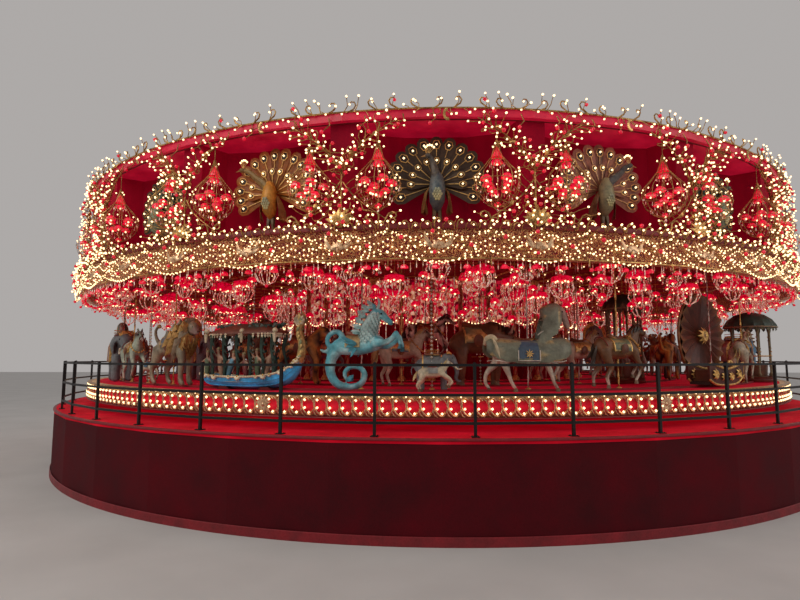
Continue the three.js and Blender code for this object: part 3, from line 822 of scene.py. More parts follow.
# gilt scrollwork on a drum: each bar opens into the cup of a lamp
class Scrollwork:
    def __init__(self, radius, seed):
        self.radius, self.luck = radius, random.Random(seed)
        self.lines, self.leaves = [], Shape()
        self.lights = {"lamp": [], "bead": [], "globe": []}

    def place(self, flat, out=0.0):
        return polar(min(self.radius + out, farthest - 0.075), flat[0] / self.radius, flat[1])

    def light(self, end, aim, kind):
        self.lights[kind].append((end, aim, self.luck.uniform(0.76, 0.98)))

    def cup(self, line, aim, kind):
        aim = Vector(aim).normalized()
        end, thick = line[-1]
        line.append((end + aim * 0.018, thick * 2.1))
        self.lines.append(line)
        self.light(end + aim * 0.012, aim, kind)

    def hook(self, root, tip, reach=0.065, hand=1, out=0.03, lift=0.1, thick=0.8, kind="lamp", steps=3,
             turn=3.4):
        # runs from its root onto a curl that winds in round the lamp
        dx, dz = root[0] - tip[0], root[1] - tip[1]
        far = max(hypot(dx, dz), reach * 1.05)
        first = atan2(dz, dx) + hand * acos(reach / far)
        line = [(self.place(root, out), thick)]
        for i in range(steps + 1):
            done = i / steps
            a, r = first + hand * turn * done, reach * (1 - 0.72 * done)
            line.append((self.place((tip[0] + r * cos(a), tip[1] + r * sin(a)),
                                    out + lift * (0.4 + 0.6 * done)),
                         thick * (1 - 0.35 * done)))
        self.cup(line, (0.2 * cos(a), -1.0, 0.2 * sin(a)), kind)

    def stalk(self, root, tip, bow=0.0, out=0.03, lift=0.1, thick=0.75, kind="lamp", steps=2):
        # a bowed bar that ends straight
        dx, dz = tip[0] - root[0], tip[1] - root[1]
        line = []
        for i in range(steps + 1):
            t = i / steps
            swell = 4 * bow * t * (1 - t)
            line.append((self.place((root[0] + dx * t - dz * swell, root[1] + dz * t + dx * swell),
                                    out + lift * t),
                         thick * (1 - 0.35 * t)))
        long = hypot(dx, dz)
        self.cup(line, (0.8 * dx / long, -1.0, 0.8 * dz / long), kind)

    def stem(self, points, out=0.02, thick=1.0):
        # a bar through the points, which stands out most in its middle and thins to its end
        last = len(points) - 1
        self.lines.append([(self.place(flat, out + 0.03 * sin(pi * i / last)), thick * (1.1 - 0.4 * i / last))
                           for i, flat in enumerate(points)])

    def string(self, points, out=0.06):
        # small lamps through the points, on a wire where they leave the boards
        if out > 0.03:
            self.lines.append([(self.place(flat, out), 0.5) for flat in points])
        for flat in points:
            self.light(self.place(flat, out + 0.004), Vector((0, -1, -0.15)).normalized(), "bead")

    def frond(self, root, heading, length, width, out=0.05, lift=0.06, curl=0.7):
        spine = [self.place((root[0] + length * k * cos(heading + curl * k),
                             root[1] + length * k * sin(heading + curl * k)), out + lift * sin(pi * k))
                 for k in (0.0, 0.35, 0.7, 1.0)]
        self.leaves.leaf(spine, width, (0, -1, 0))

    def grow(self, name, count, first=0.0):
        turns = repeats(count, first)
        wires(name, self.lines, 0.014, gilt, **turns)
        if self.leaves.points:
            copies(name + "Leaves", self.leaves, gilt, **turns)
        for kind, glass, finish in (("lamp", lampGlass, bulbGlow), ("bead", beadGlass, bulbGlow),
                                    ("globe", globeGlass, redGlobe)):
            if self.lights[kind]:
                lampSet(name + kind.title() + "s", self.lights[kind], finish, glass, **turns)


def curveThrough(points, steps):
    # a smooth run through given points
    found = []
    last = len(points) - 1
    for i in range(last):
        before, here, there, after = (Vector(points[max(min(k, last), 0)]) for k in (i - 1, i, i + 1, i + 2))
        for k in range(steps):
            t = k / steps
            square, cube = 2 * before - 5 * here + 4 * there - after, 3 * here - before - 3 * there + after
            found.append(0.5 * (2 * here + (there - before) * t + square * t * t + cube * t ** 3))
    return found + [Vector(points[-1])]


def spread(i):
    # evenly scattered places from -1 to 1
    return 2 * ((i * 0.6180339) % 1) - 1


# heights here are over the plinth's top, as in the part
pillar = {"radius": 10.02, "upper": 35, "lower": 49, "apex": 3.93, "slope": 0.72, "seed": 5}


def dressPillars():
    work = Scrollwork(pillar["radius"], pillar["seed"])
    luck, base = work.luck, floorTop
    for side in (-1, 1):
        spine = curveThrough([(0.04 * side, base + 4.22), (0.16 * side, base + 4.42),
                              (0.36 * side, base + 4.64), (0.6 * side, base + 4.84),
                              (0.92 * side, base + 5.04)], 3)
        work.stem(spine, 0.0, 1.1)
        last = len(spine) - 1
        for i in range(pillar["upper"]):
            t = (i + luck.random()) / pillar["upper"]
            where = spine[min(int(t * last), last)].lerp(spine[min(int(t * last) + 1, last)], (t * last) % 1)
            ahead = (spine[min(int(t * last) + 1, last)] - spine[max(int(t * last) - 1, 0)]).normalized()
            across = Vector((-ahead.y, ahead.x))
            tip = where + across * spread(i) * (0.12 + 0.13 * t)
            root = where - ahead * luck.uniform(0.05, 0.14) + across * luck.uniform(-0.03, 0.03)
            kind = "globe" if i % 9 == 4 else "lamp"
            if i % 2:
                work.hook(root, tip, luck.uniform(0.04, 0.075), luck.choice((-1, 1)), 0.0,
                          luck.uniform(0.05, 0.2), 0.75, kind)
            else:
                work.stalk(root, tip, luck.uniform(-0.35, 0.35), 0.0, luck.uniform(0.05, 0.22), 0.7, kind)
        for i in range(6):    # straight stalks pointing into the niche
            where = spine[1 + 2 * i]
            work.stalk(where, where + Vector((side * luck.uniform(0.2, 0.27), -luck.uniform(0.02, 0.12))),
                       0.05, 0.0, 0.16, 0.7)
        # the lower spray, wider towards the shelf
        edge = curveThrough([(0.02 * side, base + 4.02), (0.2 * side, base + 3.78),
                             (0.48 * side, base + 3.55), (0.8 * side, base + 3.33)], 3)
        work.stem(edge, 0.0, 1.1)
        for i in range(8):
            where = edge[1 + i]
            work.stalk(where, where + Vector((side * luck.uniform(0.2, 0.3), luck.uniform(0.02, 0.14))),
                       0.06, 0.0, 0.16, 0.7)
        work.hook((0.7 * side, base + 3.3), (0.86 * side, base + 3.4), 0.085, -side, 0.02, 0.08, 1.4,
                  steps=6, turn=5.0)
        work.hook((0.62 * side, base + 3.28), (0.56 * side, base + 3.43), 0.07, side, 0.02, 0.12, 1.2,
                  steps=5, turn=4.6)
    for i in range(pillar["lower"]):
        v = ((i + luck.random()) / pillar["lower"]) ** 0.75
        tip = Vector((spread(i) * (0.08 + 0.72 * v), base + pillar["apex"] - pillar["slope"] * v))
        root = Vector((tip.x * 0.72, tip.y + luck.uniform(0.03, 0.12)))
        kind = "globe" if i % 7 == 3 else "lamp"
        if i % 2:
            work.hook(root, tip, luck.uniform(0.04, 0.08), luck.choice((-1, 1)), 0.0,
                      luck.uniform(0.04, 0.2), 0.8, kind)
        else:
            work.stalk(root, tip, luck.uniform(-0.4, 0.4), 0.0, luck.uniform(0.06, 0.22), 0.7, kind)
    for u, z in ((-0.07, 4.08), (0.08, 4.11), (0.0, 4.2), (-0.12, 4.34), (0.22, 4.5), (-0.3, 4.56)):
        work.stalk((0, base + z - 0.05), (u, base + z), 0.1, 0.0, 0.1, 0.8, "globe", 2)
    work.stem([Vector((0, base + z)) for z in (3.22, 3.5, 3.8, 4.0, 4.2, 4.3)], -0.01, 1.5)
    # a shell of leaves low on the pillar, and small leaves between the arms
    for k in range(7):
        work.frond((0.0, base + 3.24), pi / 2 + (k - 3) * 0.22, 0.34 - 0.02 * abs(k - 3), 0.042, 0.09, 0.05,
                   0.12 * (k - 3))
    for k in range(10):
        u = spread(k) * 0.55
        z = 3.32 + 0.5 * ((k * 0.37) % 1) * (1 - abs(u)) if k % 2 else 4.3 + abs(u) * 0.9
        work.frond((u, base + z), luck.uniform(0, tau), luck.uniform(0.1, 0.17), luck.uniform(0.018, 0.03))
    work.grow("pillarScrolls", sectors, sectorTurn / 2)


topEdge = {"radius": 10.06, "rings": 9, "seed": 11}


def dressTopEdge():
    # a thin bead with rings, stalks and red globes over it and before the red board
    lathed("crownEdge", (crownRadius, crownTop),
           [(0.001, -0.026), (0.012, -0.022), (0.016, -0.01), (0.01, 0.002),
            (-0.03, 0.004), (-0.03, 0.001), (0.001, 0.0)], gilt)
    work = Scrollwork(topEdge["radius"], topEdge["seed"])
    luck, wide = work.luck, sectorTurn * topEdge["radius"]
    for i in range(topEdge["rings"]):
        u = wide * ((i + 0.5) / topEdge["rings"] - 0.5) + luck.uniform(-0.04, 0.04)
        side = luck.choice((-1, 1))
        work.hook((u - side * 0.1, crownTop - 0.03), (u, crownTop + luck.uniform(0.07, 0.13)),
                  luck.uniform(0.06, 0.085), side, 0.0, 0.03, 1.15, "globe" if i in (2, 6) else "lamp", 5,
                  4.8)
        for k in range(3):
            v = u + wide / topEdge["rings"] * (k + luck.random()) / 3
            high = luck.choice((0.18, 0.1, 0.03, -0.08, -0.14)) + luck.uniform(-0.02, 0.02)
            work.stalk((v - 0.08 * side, crownTop - 0.02), (v, crownTop + high), luck.uniform(-0.4, 0.4), 0.0,
                       luck.uniform(0.03, 0.12), 0.75, "lamp", 2)
    for u in (-1.25, -0.62, -0.12, 0.72, 1.3):
        # red globes on bent arms below the edge
        work.stalk((u + 0.06, crownTop - 0.1), (u, crownTop - luck.uniform(0.28, 0.36)), 0.25, 0.0, 0.1, 0.9,
                   "globe")
    for k in range(9):    # a crescent at each bird
        a = pi * (0.62 + 0.9 * k / 8)
        work.leaves.ball(work.place((0.16 + 0.055 * cos(a), crownTop - 0.14 + 0.085 * sin(a)), 0.05),
                         (0.026, 0.02, 0.03), 6, 4)
    work.grow("crownScrolls", sectors, 0.0)


band = {"radius": 10.155, "seed": 23}


def shadeOn(shape, at, size, sides=7):
    # a red glass bell, mouth down
    shape.spun([(size, 0.0), (size * 0.92, size * 0.45), (size * 0.5, size * 0.85), (0.0, size * 0.98)],
               sides, at)


def dressBand():
    # the lit fascia: a thin shelf edge, then curls, waves, bows of small lamps and plaques
    low, high, out = bandFoot, bandTop, bandRadius
    lathed("bandMouldings", (out, low), [(0.001, 0.014), (0.014, 0.01), (0.014, -0.008), (-0.16, -0.008),
                                         (-0.16, -0.001), (0.001, -0.001)], gilt)
    back, up = crownRadius - out, shelfTop - high
    lathed("shelfMouldings", (out, high),
           [(0.001, -0.03), (0.014, -0.02), (0.014, 0.002), (back + 0.03, 0.014),
            (back + 0.022, up + 0.006), (back - 0.04, up + 0.008), (back + 0.002, up),
            (back + 0.002, 0.004)], darkRed)
    work = Scrollwork(band["radius"], band["seed"])
    luck = work.luck
    wide, tall = sectorTurn / 2 * band["radius"], high - low
    for i in range(9):    # curls and stalks standing on the shelf's edge
        u = wide * ((i + 0.5) / 9 - 0.5)
        side = 1 if i % 2 else -1
        work.hook((u + side * 0.07, high - 0.02), (u, high + luck.uniform(0.02, 0.09)),
                  luck.uniform(0.05, 0.075), side, 0.0, 0.08, 1.0, steps=5, turn=4.6)
        work.stalk((u + 0.07, high - 0.03), (u + 0.1, high + luck.uniform(0.0, 0.14)), 0.2, 0.0,
                   luck.uniform(0.06, 0.16), 0.7, "globe" if i == 4 else "lamp", 2)
    for i in range(26):    # a field of curls and stalks
        u, z = wide * spread(i) / 2, low + tall * (0.12 + 0.78 * ((i * 0.7548777) % 1))
        root = (u + luck.uniform(-0.12, 0.12), z + luck.uniform(-0.08, 0.08))
        kind = "globe" if i % 7 == 4 else ("bead" if i % 3 else "lamp")
        if i % 2:
            work.hook(root, (u, z), luck.uniform(0.035, 0.06), luck.choice((-1, 1)), 0.0,
                      luck.uniform(0.04, 0.16), 0.7, kind)
        else:
            work.stalk(root, (u, z), luck.uniform(-0.4, 0.4), 0.0, luck.uniform(0.04, 0.18), 0.65, kind, 2)
    for height, swing, turns, lean, count in ((0.62, 0.07, 2, 0.0, 22), (0.3, 0.06, 3, 1.6, 22)):
        # waves of small lamps, whole turns in each bay
        work.string([(wide * (i / count - 0.5),
                      low + tall * height + swing * sin(tau * turns * i / count + lean))
                     for i in range(count)], out=0.0)
    for middle, half, top, drop, count in ((-wide / 4, wide / 4, high - 0.04, 0.14, 9),
                                           (wide / 4, wide / 4, high - 0.04, 0.14, 9),
                                           (0.0, wide / 2, low + 0.1, 0.16, 16),
                                           (0.0, wide / 4, low + 0.02, 0.1, 9)):
        work.string([(middle + half * t, top - drop * (1 - t * t))
                     for t in (2 * i / count - 1 for i in range(count + 1))],
                    out=0.085)
    for i in range(14):    # loose small lamps close to the boards
        flat = (wide * spread(i + 40) / 2, low + tall * (0.03 + 0.94 * ((i * 0.7548777 + 0.3) % 1)))
        work.light(work.place(flat, 0.004), Vector((0, -1, 0)), "bead")
    work.stalk((-wide / 2 + 0.01, low + 0.02), (-wide / 2 + 0.01, low - 0.14), 0.0, 0.03, 0.03, 1.0, "globe",
               2)
    work.grow("bandScrolls", 2 * sectors, 0.0)
    # plaques of pale gilt: a shell between two leaves
    shells = Scrollwork(band["radius"], 3)
    for k in range(5):
        shells.frond((0.0, low + 0.15), pi / 2 + (k - 2) * 0.5, 0.15, 0.032, 0.04, 0.04, 0.1 * (k - 2))
    for side in (-1, 1):
        for k, length in enumerate((0.3, 0.2)):
            shells.frond((side * 0.06, low + 0.17), pi / 2 - side * (1.15 + 0.4 * k), length, 0.026, 0.03,
                         0.04, side * 0.6)
    shells.leaves.ball(shells.place((0.0, low + 0.15), 0.06), (0.03, 0.025, 0.035), 6, 3)
    turns = repeats(2 * sectors)
    copies("bandShells", shells.leaves, paleGilt, **turns)
    # drops and small bells hung under the edge
    drops, bells = Shape(), Shape()
    for i in range(16):
        a = sectorTurn / 2 * ((i + 0.5) / 16 - 0.5)
        dropOn(drops, polar(out - 0.03 - 0.06 * (i % 2), a, low - 0.008), 0.1 + 0.12 * ((i * 0.618) % 1),
               0.012)
        if i % 5 == 2:
            shadeOn(bells, polar(out - 0.08, a, low - 0.14), 0.07, 5)
    copies("bandDrops", drops, crystal, slot="crystal_lamps", **turns)
    copies("bandBells", bells, shadeRed, slot="crystal_lamps", **turns)


dressPillars()
dressTopEdge()
dressBand()
print("crown scrollwork dressed")

# cage lanterns: a pear of gilt wire round tiers of red shades
cage = {"ribs": 14, "wire": 0.0055, "side": 5.6, "radius": 9.93}


def dressCages():
    outline = [(0.02, 3.56), (0.17, 3.63), (0.32, 3.78), (0.375, 3.96), (0.34, 4.12), (0.2, 4.28),
               (0.09, 4.42), (0.012, 4.7)]
    centre = Vector((0, -cage["radius"], floorTop))
    work = {"lines": [], "bulbs": []}
    for a in angles(cage["ribs"], 0.5):
        work["lines"].append([(centre + onCircle(r, a, z), 1.0) for r, z in outline])
    for r, z, wide, sides in ((0.15, 4.34, 1.4, 8), (0.38, 3.98, 1.2, 12), (0.32, 3.78, 1.0, 12)):
        work["lines"].append([(centre + onCircle(r, tau * k / sides, z), wide) for k in range(sides + 1)])
    work["lines"].append([(centre + vertical(z), 1.5) for z in (3.56, 4.1, 4.6, crownTop - floorTop - 0.16)])
    shades, drops = Shape(), Shape()
    for count, r, z, size, phase in ((4, 0.23, 3.99, 0.1, 0.3), (3, 0.14, 3.82, 0.085, 0.8),
                                     (1, 0.0, 4.3, 0.1, 0.3), (1, 0.0, 3.6, 0.065, 0.8)):
        for a in angles(count, phase):
            spot = centre + onCircle(r, a, z)
            shadeOn(shades, spot, size, 6)
            work["bulbs"].append((spot + vertical(-0.028), vertical(1), 0.8))
            if count > 1:
                work["lines"].append([(centre + vertical(z - 0.12), 0.9), (spot + vertical(-0.02), 0.9)])
    shades.spun([(0.1, 4.4), (0.075, 4.47), (0.03, 4.56), (0.0, 4.6)], 8, centre)
    for a in angles(3):
        work["bulbs"].append((centre + onCircle(0.09, a, 4.6), vertical(1), 0.7))
        work["lines"].append([(centre + vertical(4.52), 0.8), (centre + onCircle(0.09, a, 4.6), 0.8)])
    for a in angles(cage["ribs"]):
        for r, z, long in ((0.35, 3.97, 0.09), (0.23, 3.75, 0.08), (0.12, 4.31, 0.06)):
            dropOn(drops, centre + onCircle(r, a, z), long)
        work["bulbs"].append((centre + onCircle(0.36, a, 4.06), vertical(1), 0.62))
    dropOn(drops, centre + vertical(3.59), 0.1, 0.024, 6)
    for side, hand in ((-1, "Left"), (1, "Right")):
        turns = repeats(sectors, side * radians(cage["side"]))
        made = wires("cageWires" + hand, work["lines"], cage["wire"], gilt, "cage_gilt", **turns)
        if side > 0:
            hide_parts("cage_lanterns")
        copies("cageShades" + hand, shades, shadeRed, slot="cage_gilt", **turns)
        copies("cageDrops" + hand, drops, crystal, slot="cage_gilt", **turns)
        lampSet("cageLamps" + hand, work["bulbs"], slot="cage_gilt", **turns)
    lathed("cageRail", (cage["radius"], crownTop - 0.15), [(-0.015, -0.001), (-0.015, -0.012), (0.0, -0.018),
                                                           (0.015, -0.012), (0.015, -0.001)],
           darkRed, steps=120)


dressCages()
print("cages dressed")

# birds with raised fans of lit feathers
bird = {"radius": 9.45, "root": 4.1, "reach": 0.8, "outer": 15, "inner": 9}
birdKinds = {    # fan, vein, neck, breast, wing, lean of the neck, place among four
    "blueBird": ((0.075, 0.045, 0.026), (0.55, 0.33, 0.12), (0.05, 0.07, 0.09), (0.05, 0.11, 0.15),
                 (0.24, 0.11, 0.035), -0.1, 0),
    "roseBird": ((0.4, 0.15, 0.09), (0.65, 0.34, 0.2), (0.03, 0.06, 0.09), (0.25, 0.25, 0.15),
                 (0.16, 0.05, 0.03), 0.5, 1),
    "tealBird": ((0.05, 0.07, 0.05), (0.5, 0.38, 0.15), (0.03, 0.1, 0.09), (0.2, 0.3, 0.2),
                 (0.2, 0.12, 0.05), 0.3, 2),
    "goldBird": ((0.42, 0.13, 0.02), (0.75, 0.42, 0.12), (0.25, 0.16, 0.05), (0.62, 0.26, 0.03),
                 (0.3, 0.1, 0.03), -0.5, 3),
}


def carvedBird(fan, vein, neck, breast, wing, lean):
    shape, eyes = Shape(), []
    root = Vector((0, 0.03, bird["root"]))

    def feather(angle, reach, width, back):
        # a wide scalloped feather with a dark heart ringed in gold
        along = Vector((1.1 * sin(angle), 0, cos(angle)))
        side = Vector((cos(angle), 0, -sin(angle)))
        tint = tuple(c * (0.75 + 0.4 * abs(sin(angle * 7))) for c in fan) + (0.0,)
        rings = []
        for done, half in ((0.1, 0.14), (0.5, 0.6), (0.8, 1.0), (0.94, 0.8), (1.0, 0.36)):
            middle = root + along * reach * done + Vector((0, back - 0.05 * done, 0))
            rings.append([middle - side * width * half, middle + Vector((0, -0.016, 0)),
                          middle + side * width * half])
        start = len(shape.points)
        shape.rings(rings, tint, closed=False)
        shape.add([], [[start, start + 1, start + 2], [start + 14, start + 13, start + 12]])
        eye = root + along * reach * 0.83 + Vector((0, back - 0.066, 0))
        shape.tube([root + along * reach * 0.2 + Vector((0, back - 0.03, 0)), eye - along * 0.06],
                   (0.005, 0.01), 3, (*vein, 0.5), blunt=False)
        ring = [eye + width * 0.56 * (side * cos(tau * k / 6) + along * 1.2 * sin(tau * k / 6))
                for k in range(7)]
        shape.tube(ring, 0.009, 3, (*vein, 0.75), blunt=False)
        heart = [eye + width * 0.46 * (side * cos(tau * k / 6) + along * 1.2 * sin(tau * k / 6))
                 + Vector((0, 0.004, 0)) for k in range(6)]
        shape.add([*heart, eye + Vector((0, -0.006, 0))], [[k, (k + 1) % 6, 6] for k in range(6)],
                  (0.02, 0.015, 0.02, 0.0))
        eyes.append((eye + Vector((0, -0.006, 0)), Vector((0, -1, 0)), 0.92))

    for k in range(bird["outer"]):
        a = radians(-112 + 224 * k / (bird["outer"] - 1))
        feather(a, bird["reach"] * (1.06 - 0.16 * (abs(a) / 2) ** 2), 0.124, 0.02 + 0.012 * (k % 2))
    for k in range(bird["inner"]):
        a = radians(-92 + 184 * k / (bird["inner"] - 1))
        feather(a, bird["reach"] * 0.6, 0.085, -0.03 - 0.012 * (k % 2))
    # body, breast patch, neck and head
    z = bird["root"]
    shape.tube([(0, -0.06, z - 0.46), (0, -0.12, z - 0.34), (0, -0.16, z - 0.14), (0, -0.14, z + 0.04),
                (lean * 0.08, -0.1, z + 0.16)], (0.06, 0.13, 0.145, 0.12, 0.08), 10, (*breast, 0.1), 0.95)
    for row, many in enumerate((2, 3, 4, 3, 2)):    # the breast's pale scales
        for k in range(many):
            u, v = 0.043 * (k - (many - 1) / 2), 0.04 * row
            shape.ball((u, -0.25 - 0.26 * v + 1.2 * u * u, z - 0.32 + v), (0.028, 0.016, 0.028), 5, 3,
                       (0.62 - 0.08 * row, 0.56 - 0.05 * row, 0.27, 0.15))
    neckLine = curveThrough([(lean * 0.06, -0.12, z + 0.06), (lean * 0.3, -0.15, z + 0.18),
                             (lean * 0.62, -0.14, z + 0.3), (lean * 0.8 - 0.02, -0.16, z + 0.4),
                             (lean - 0.04, -0.19, z + 0.44)], 2)
    widths = [0.095 - 0.06 * (i / (len(neckLine) - 1)) ** 0.7 for i in range(len(neckLine))]
    shape.tube(neckLine, widths, 8, (*neck, 0.1))
    head = neckLine[-1]
    hand = -1 if lean < 0 else 1
    shape.ball(head + Vector((hand * 0.01, -0.01, 0)), (0.055, 0.045, 0.045), 8, 5, (*neck, 0.1))
    shape.tube([head + Vector((hand * 0.04, -0.015, 0)), head + Vector((hand * 0.13, -0.03, -0.03))],
               (0.02, 0.004), 4, (0.45, 0.3, 0.12, 0.4), blunt=False)
    for k in range(5):
        tip = head + Vector((0.035 * (k - 2) - hand * 0.02, 0, 0.17 - 0.01 * (k - 2) ** 2))
        shape.tube([head + vertical(0.03), tip], (0.004, 0.004), 3, (*vein, 0.8), blunt=False)
        eyes.append((tip, Vector((0, -0.6, 1)).normalized(), 0.8))
    # folded wings, and a dark post with two feet on the shelf
    for side in (-1, 1):
        for k in range(5):
            start = Vector((side * (0.12 + 0.01 * k), -0.1 + 0.02 * k, z - 0.06 - 0.04 * k))
            shape.leaf([start, start + Vector((side * 0.07, -0.02, -0.12)),
                        start + Vector((side * 0.09, 0.0, -0.28)),
                        start + Vector((side * 0.03, 0.04, -0.46 + 0.03 * k))], 0.05, (side, -0.6, 0.2),
                       (*(c * (0.75 + 0.12 * k) for c in wing), 0.1))
        shape.tube([(side * 0.03, -0.06, z - 0.4), (side * 0.05, -0.08, z - 0.6), (side * 0.05, -0.05, 3.31)],
                   (0.05, 0.035, 0.03), 5, (0.06, 0.035, 0.02, 0.1))
        shape.tube([(side * 0.05, 0.0, 3.3), (side * 0.08, -0.15, 3.295)], (0.02, 0.01), 4,
                   (0.06, 0.035, 0.02, 0.1))
    place = Matrix.Translation((0, -bird["radius"], floorTop))
    return Shape().take(shape, place), [(place @ at, aim, size) for at, aim, size in eyes]


def dressBirds():
    for index, (name, (fan, vein, neck, breast, wing, lean, turn)) in enumerate(birdKinds.items()):
        shape, eyes = carvedBird(fan, vein, neck, breast, wing, lean)
        turns = repeats(sectors // 4, sectorTurn * turn)
        made = copies(name + "s", shape, carved, slot="bird_paint", **turns)
        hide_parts(f"birds_{index + 1}")
        lampSet(name + "Lamps", eyes, slot="bird_paint", **turns)


dressBirds()
print("birds dressed")

# under the ceiling: pans, tiers and parasols of red glass, hung with crystal
class Chandeliers:
    def __init__(self):
        self.metal, self.shades, self.drops = Shape(), Shape(), Shape()
        self.lamps, self.globes = [], []

    def around(self, at, count, radius, height, phase=0.0):
        return [(a, at + onCircle(radius, a, height)) for a in angles(count, phase)]

    def bar(self, *points, thick=0.006):
        self.metal.tube(points, thick, 3, blunt=False)

    def lamp(self, at, size=1.0, globe=False):
        (self.globes if globe else self.lamps).append((at, vertical(-1), size))

    def fringe(self, at, count, radius, height, long, phase=0.5):
        for _a, spot in self.around(at, count, radius, height, phase):
            dropOn(self.drops, spot, long, 0.011)

    def basket(self, at, size, count=9):
        # strings of crystal curving in under a pan
        for a in angles(count):
            self.drops.tube([at + onCircle(r, a, z) * size for r, z in
                             ((0.16, 0.0), (0.19, -0.1), (0.13, -0.21), (0.02, -0.27))],
                            (0.009, 0.011, 0.01, 0.007), 3, blunt=False)
        self.lamp(at + vertical(-0.25 * size), 0.8, True)

    def pan(self, at, size):
        # a shallow red pan with lamps on its lip, over a crystal basket
        self.bar(at, at + vertical(-0.2 * size))
        self.shades.spun([(0.17 * size, -0.2 * size), (0.16 * size, -0.13 * size),
                          (0.07 * size, -0.1 * size), (0.0, -0.09 * size)], 11, at)
        self.fringe(at, 15, 0.17 * size, -0.2 * size, 0.085)
        self.basket(at + vertical(-0.21 * size), size)
        for _a, spot in self.around(at, 5, 0.1 * size, -0.19 * size):
            self.lamp(spot, 1.2)

    def tiers(self, at, size):
        # small red bells on arms in two tiers
        self.bar(at, at + vertical(-0.45 * size))
        for count, radius, height, phase in ((6, 0.25, -0.34, 0.0), (4, 0.14, -0.14, 0.5)):
            for _a, spot in self.around(at, count, radius * size, height * size, phase):
                middle = at + vertical(height * size - 0.05)
                self.bar(middle, middle.lerp(spot, 0.55) + vertical(-0.04), spot)
                shadeOn(self.shades, spot, 0.058, 6)
                self.lamp(spot + vertical(0.01), 1.2)
                dropOn(self.drops, spot + Vector((0.03, 0, 0.0)), 0.06)
                dropOn(self.drops, spot + Vector((-0.03, 0, 0.0)), 0.06)
        self.fringe(at, 10, 0.2 * size, -0.38 * size, 0.12)
        self.basket(at + vertical(-0.36 * size), 0.7 * size, 7)

    def parasol(self, at, size):
        # a fluted canopy with gilt ribs and a fringe
        sides = 9
        self.bar(at, at + vertical(-0.4 * size))
        rings = []
        for radius, height in ((0.22, -0.2), (0.17, -0.1), (0.03, -0.05)):
            rings.append([at + onCircle(radius * size * (1.0 if k % 2 else 0.88), a, height * size)
                          for k, a in enumerate(angles(2 * sides))])
        self.shades.rings(rings, closed=False)
        for a, spot in self.around(at, sides, 0.22 * size, -0.2 * size, 0.5):
            knee = at + onCircle(0.17, a, -0.095) * size
            self.bar(at + vertical(-0.045 * size), knee, spot, thick=0.007)
        self.fringe(at, 2 * sides, 0.215 * size, -0.2 * size, 0.1, 0.0)
        self.basket(at + vertical(-0.26 * size), 0.8 * size, 8)
        for _a, spot in self.around(at, 4, 0.12 * size, -0.2 * size, 0.5):
            self.lamp(spot, 1.1)

    def bell(self, at, size):
        self.bar(at, at + vertical(-0.14 * size), thick=0.005)
        shadeOn(self.shades, at + vertical(-0.19 * size), 0.065 * size, 6)
        self.fringe(at, 5, 0.06 * size, -0.19 * size, 0.09)
        self.lamp(at + vertical(-0.18 * size), 1.3)
        self.lamp(at + vertical(-0.24 * size), 0.6, True)

    def grow(self, name, count, replaces):
        turns = repeats(count)
        made = copies(name + "Metal", self.metal, gilt, slot="crystal_lamps", **turns)
        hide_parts(replaces)
        copies(name + "Shades", self.shades, shadeRed, slot="crystal_lamps", **turns)
        copies(name + "Crystal", self.drops, crystal, slot="crystal_lamps", **turns)
        lampSet(name + "Lamps", self.lamps, bulbGlow, beadGlass, "crystal_lamps", **turns)
        lampSet(name + "Globes", self.globes, redGlobe, globeGlass, "crystal_lamps", **turns)


hangings = {    # how often, then kind, radius, share of the turn, length of the stalk, size
    "outer": (20,
              (("pan", 9.62, 0.0, 0.25, 1.1), ("tiers", 9.55, 0.5, 0.22, 1.0),
               ("parasol", 9.4, 0.26, 0.4, 1.0), ("pan", 9.3, 0.75, 0.5, 1.1),
               ("bell", 9.8, 0.09, 0.16, 1.1), ("bell", 9.72, 0.17, 0.42, 1.2),
               ("bell", 9.8, 0.33, 0.14, 1.1), ("bell", 9.74, 0.41, 0.5, 1.2), ("bell", 9.8, 0.6, 0.18, 1.0),
               ("bell", 9.72, 0.67, 0.36, 1.2), ("bell", 9.8, 0.84, 0.15, 1.1),
               ("bell", 9.7, 0.92, 0.46, 1.3))),
    "middle": (18,
               (("tiers", 8.3, 0.0, 0.35, 1.2), ("pan", 8.4, 0.5, 0.4, 1.3), ("parasol", 8.1, 0.25, 0.3, 1.2),
                ("pan", 7.9, 0.75, 0.6, 1.2), ("bell", 8.5, 0.12, 0.6, 1.4), ("bell", 8.5, 0.37, 0.75, 1.4),
                ("bell", 8.5, 0.62, 0.5, 1.4), ("bell", 8.4, 0.87, 0.8, 1.4))),
    "inner": (12,
              (("pan", 6.6, 0.0, 0.45, 1.6), ("tiers", 6.4, 0.34, 0.4, 1.6),
               ("parasol", 6.2, 0.66, 0.35, 1.6), ("bell", 6.7, 0.18, 0.8, 1.6),
               ("bell", 6.7, 0.5, 0.9, 1.6), ("bell", 6.6, 0.82, 0.7, 1.6))),
}


ceiling = {"ribs": 40, "half": 0.03, "hoops": (3.4, 4.9, 6.9, 8.75), "inside": 2.3, "outside": 8.8,
           "lamps": (3, 3.7, 4.4, 5.2, 6, 6.6, 7.3, 8, 8.6)}


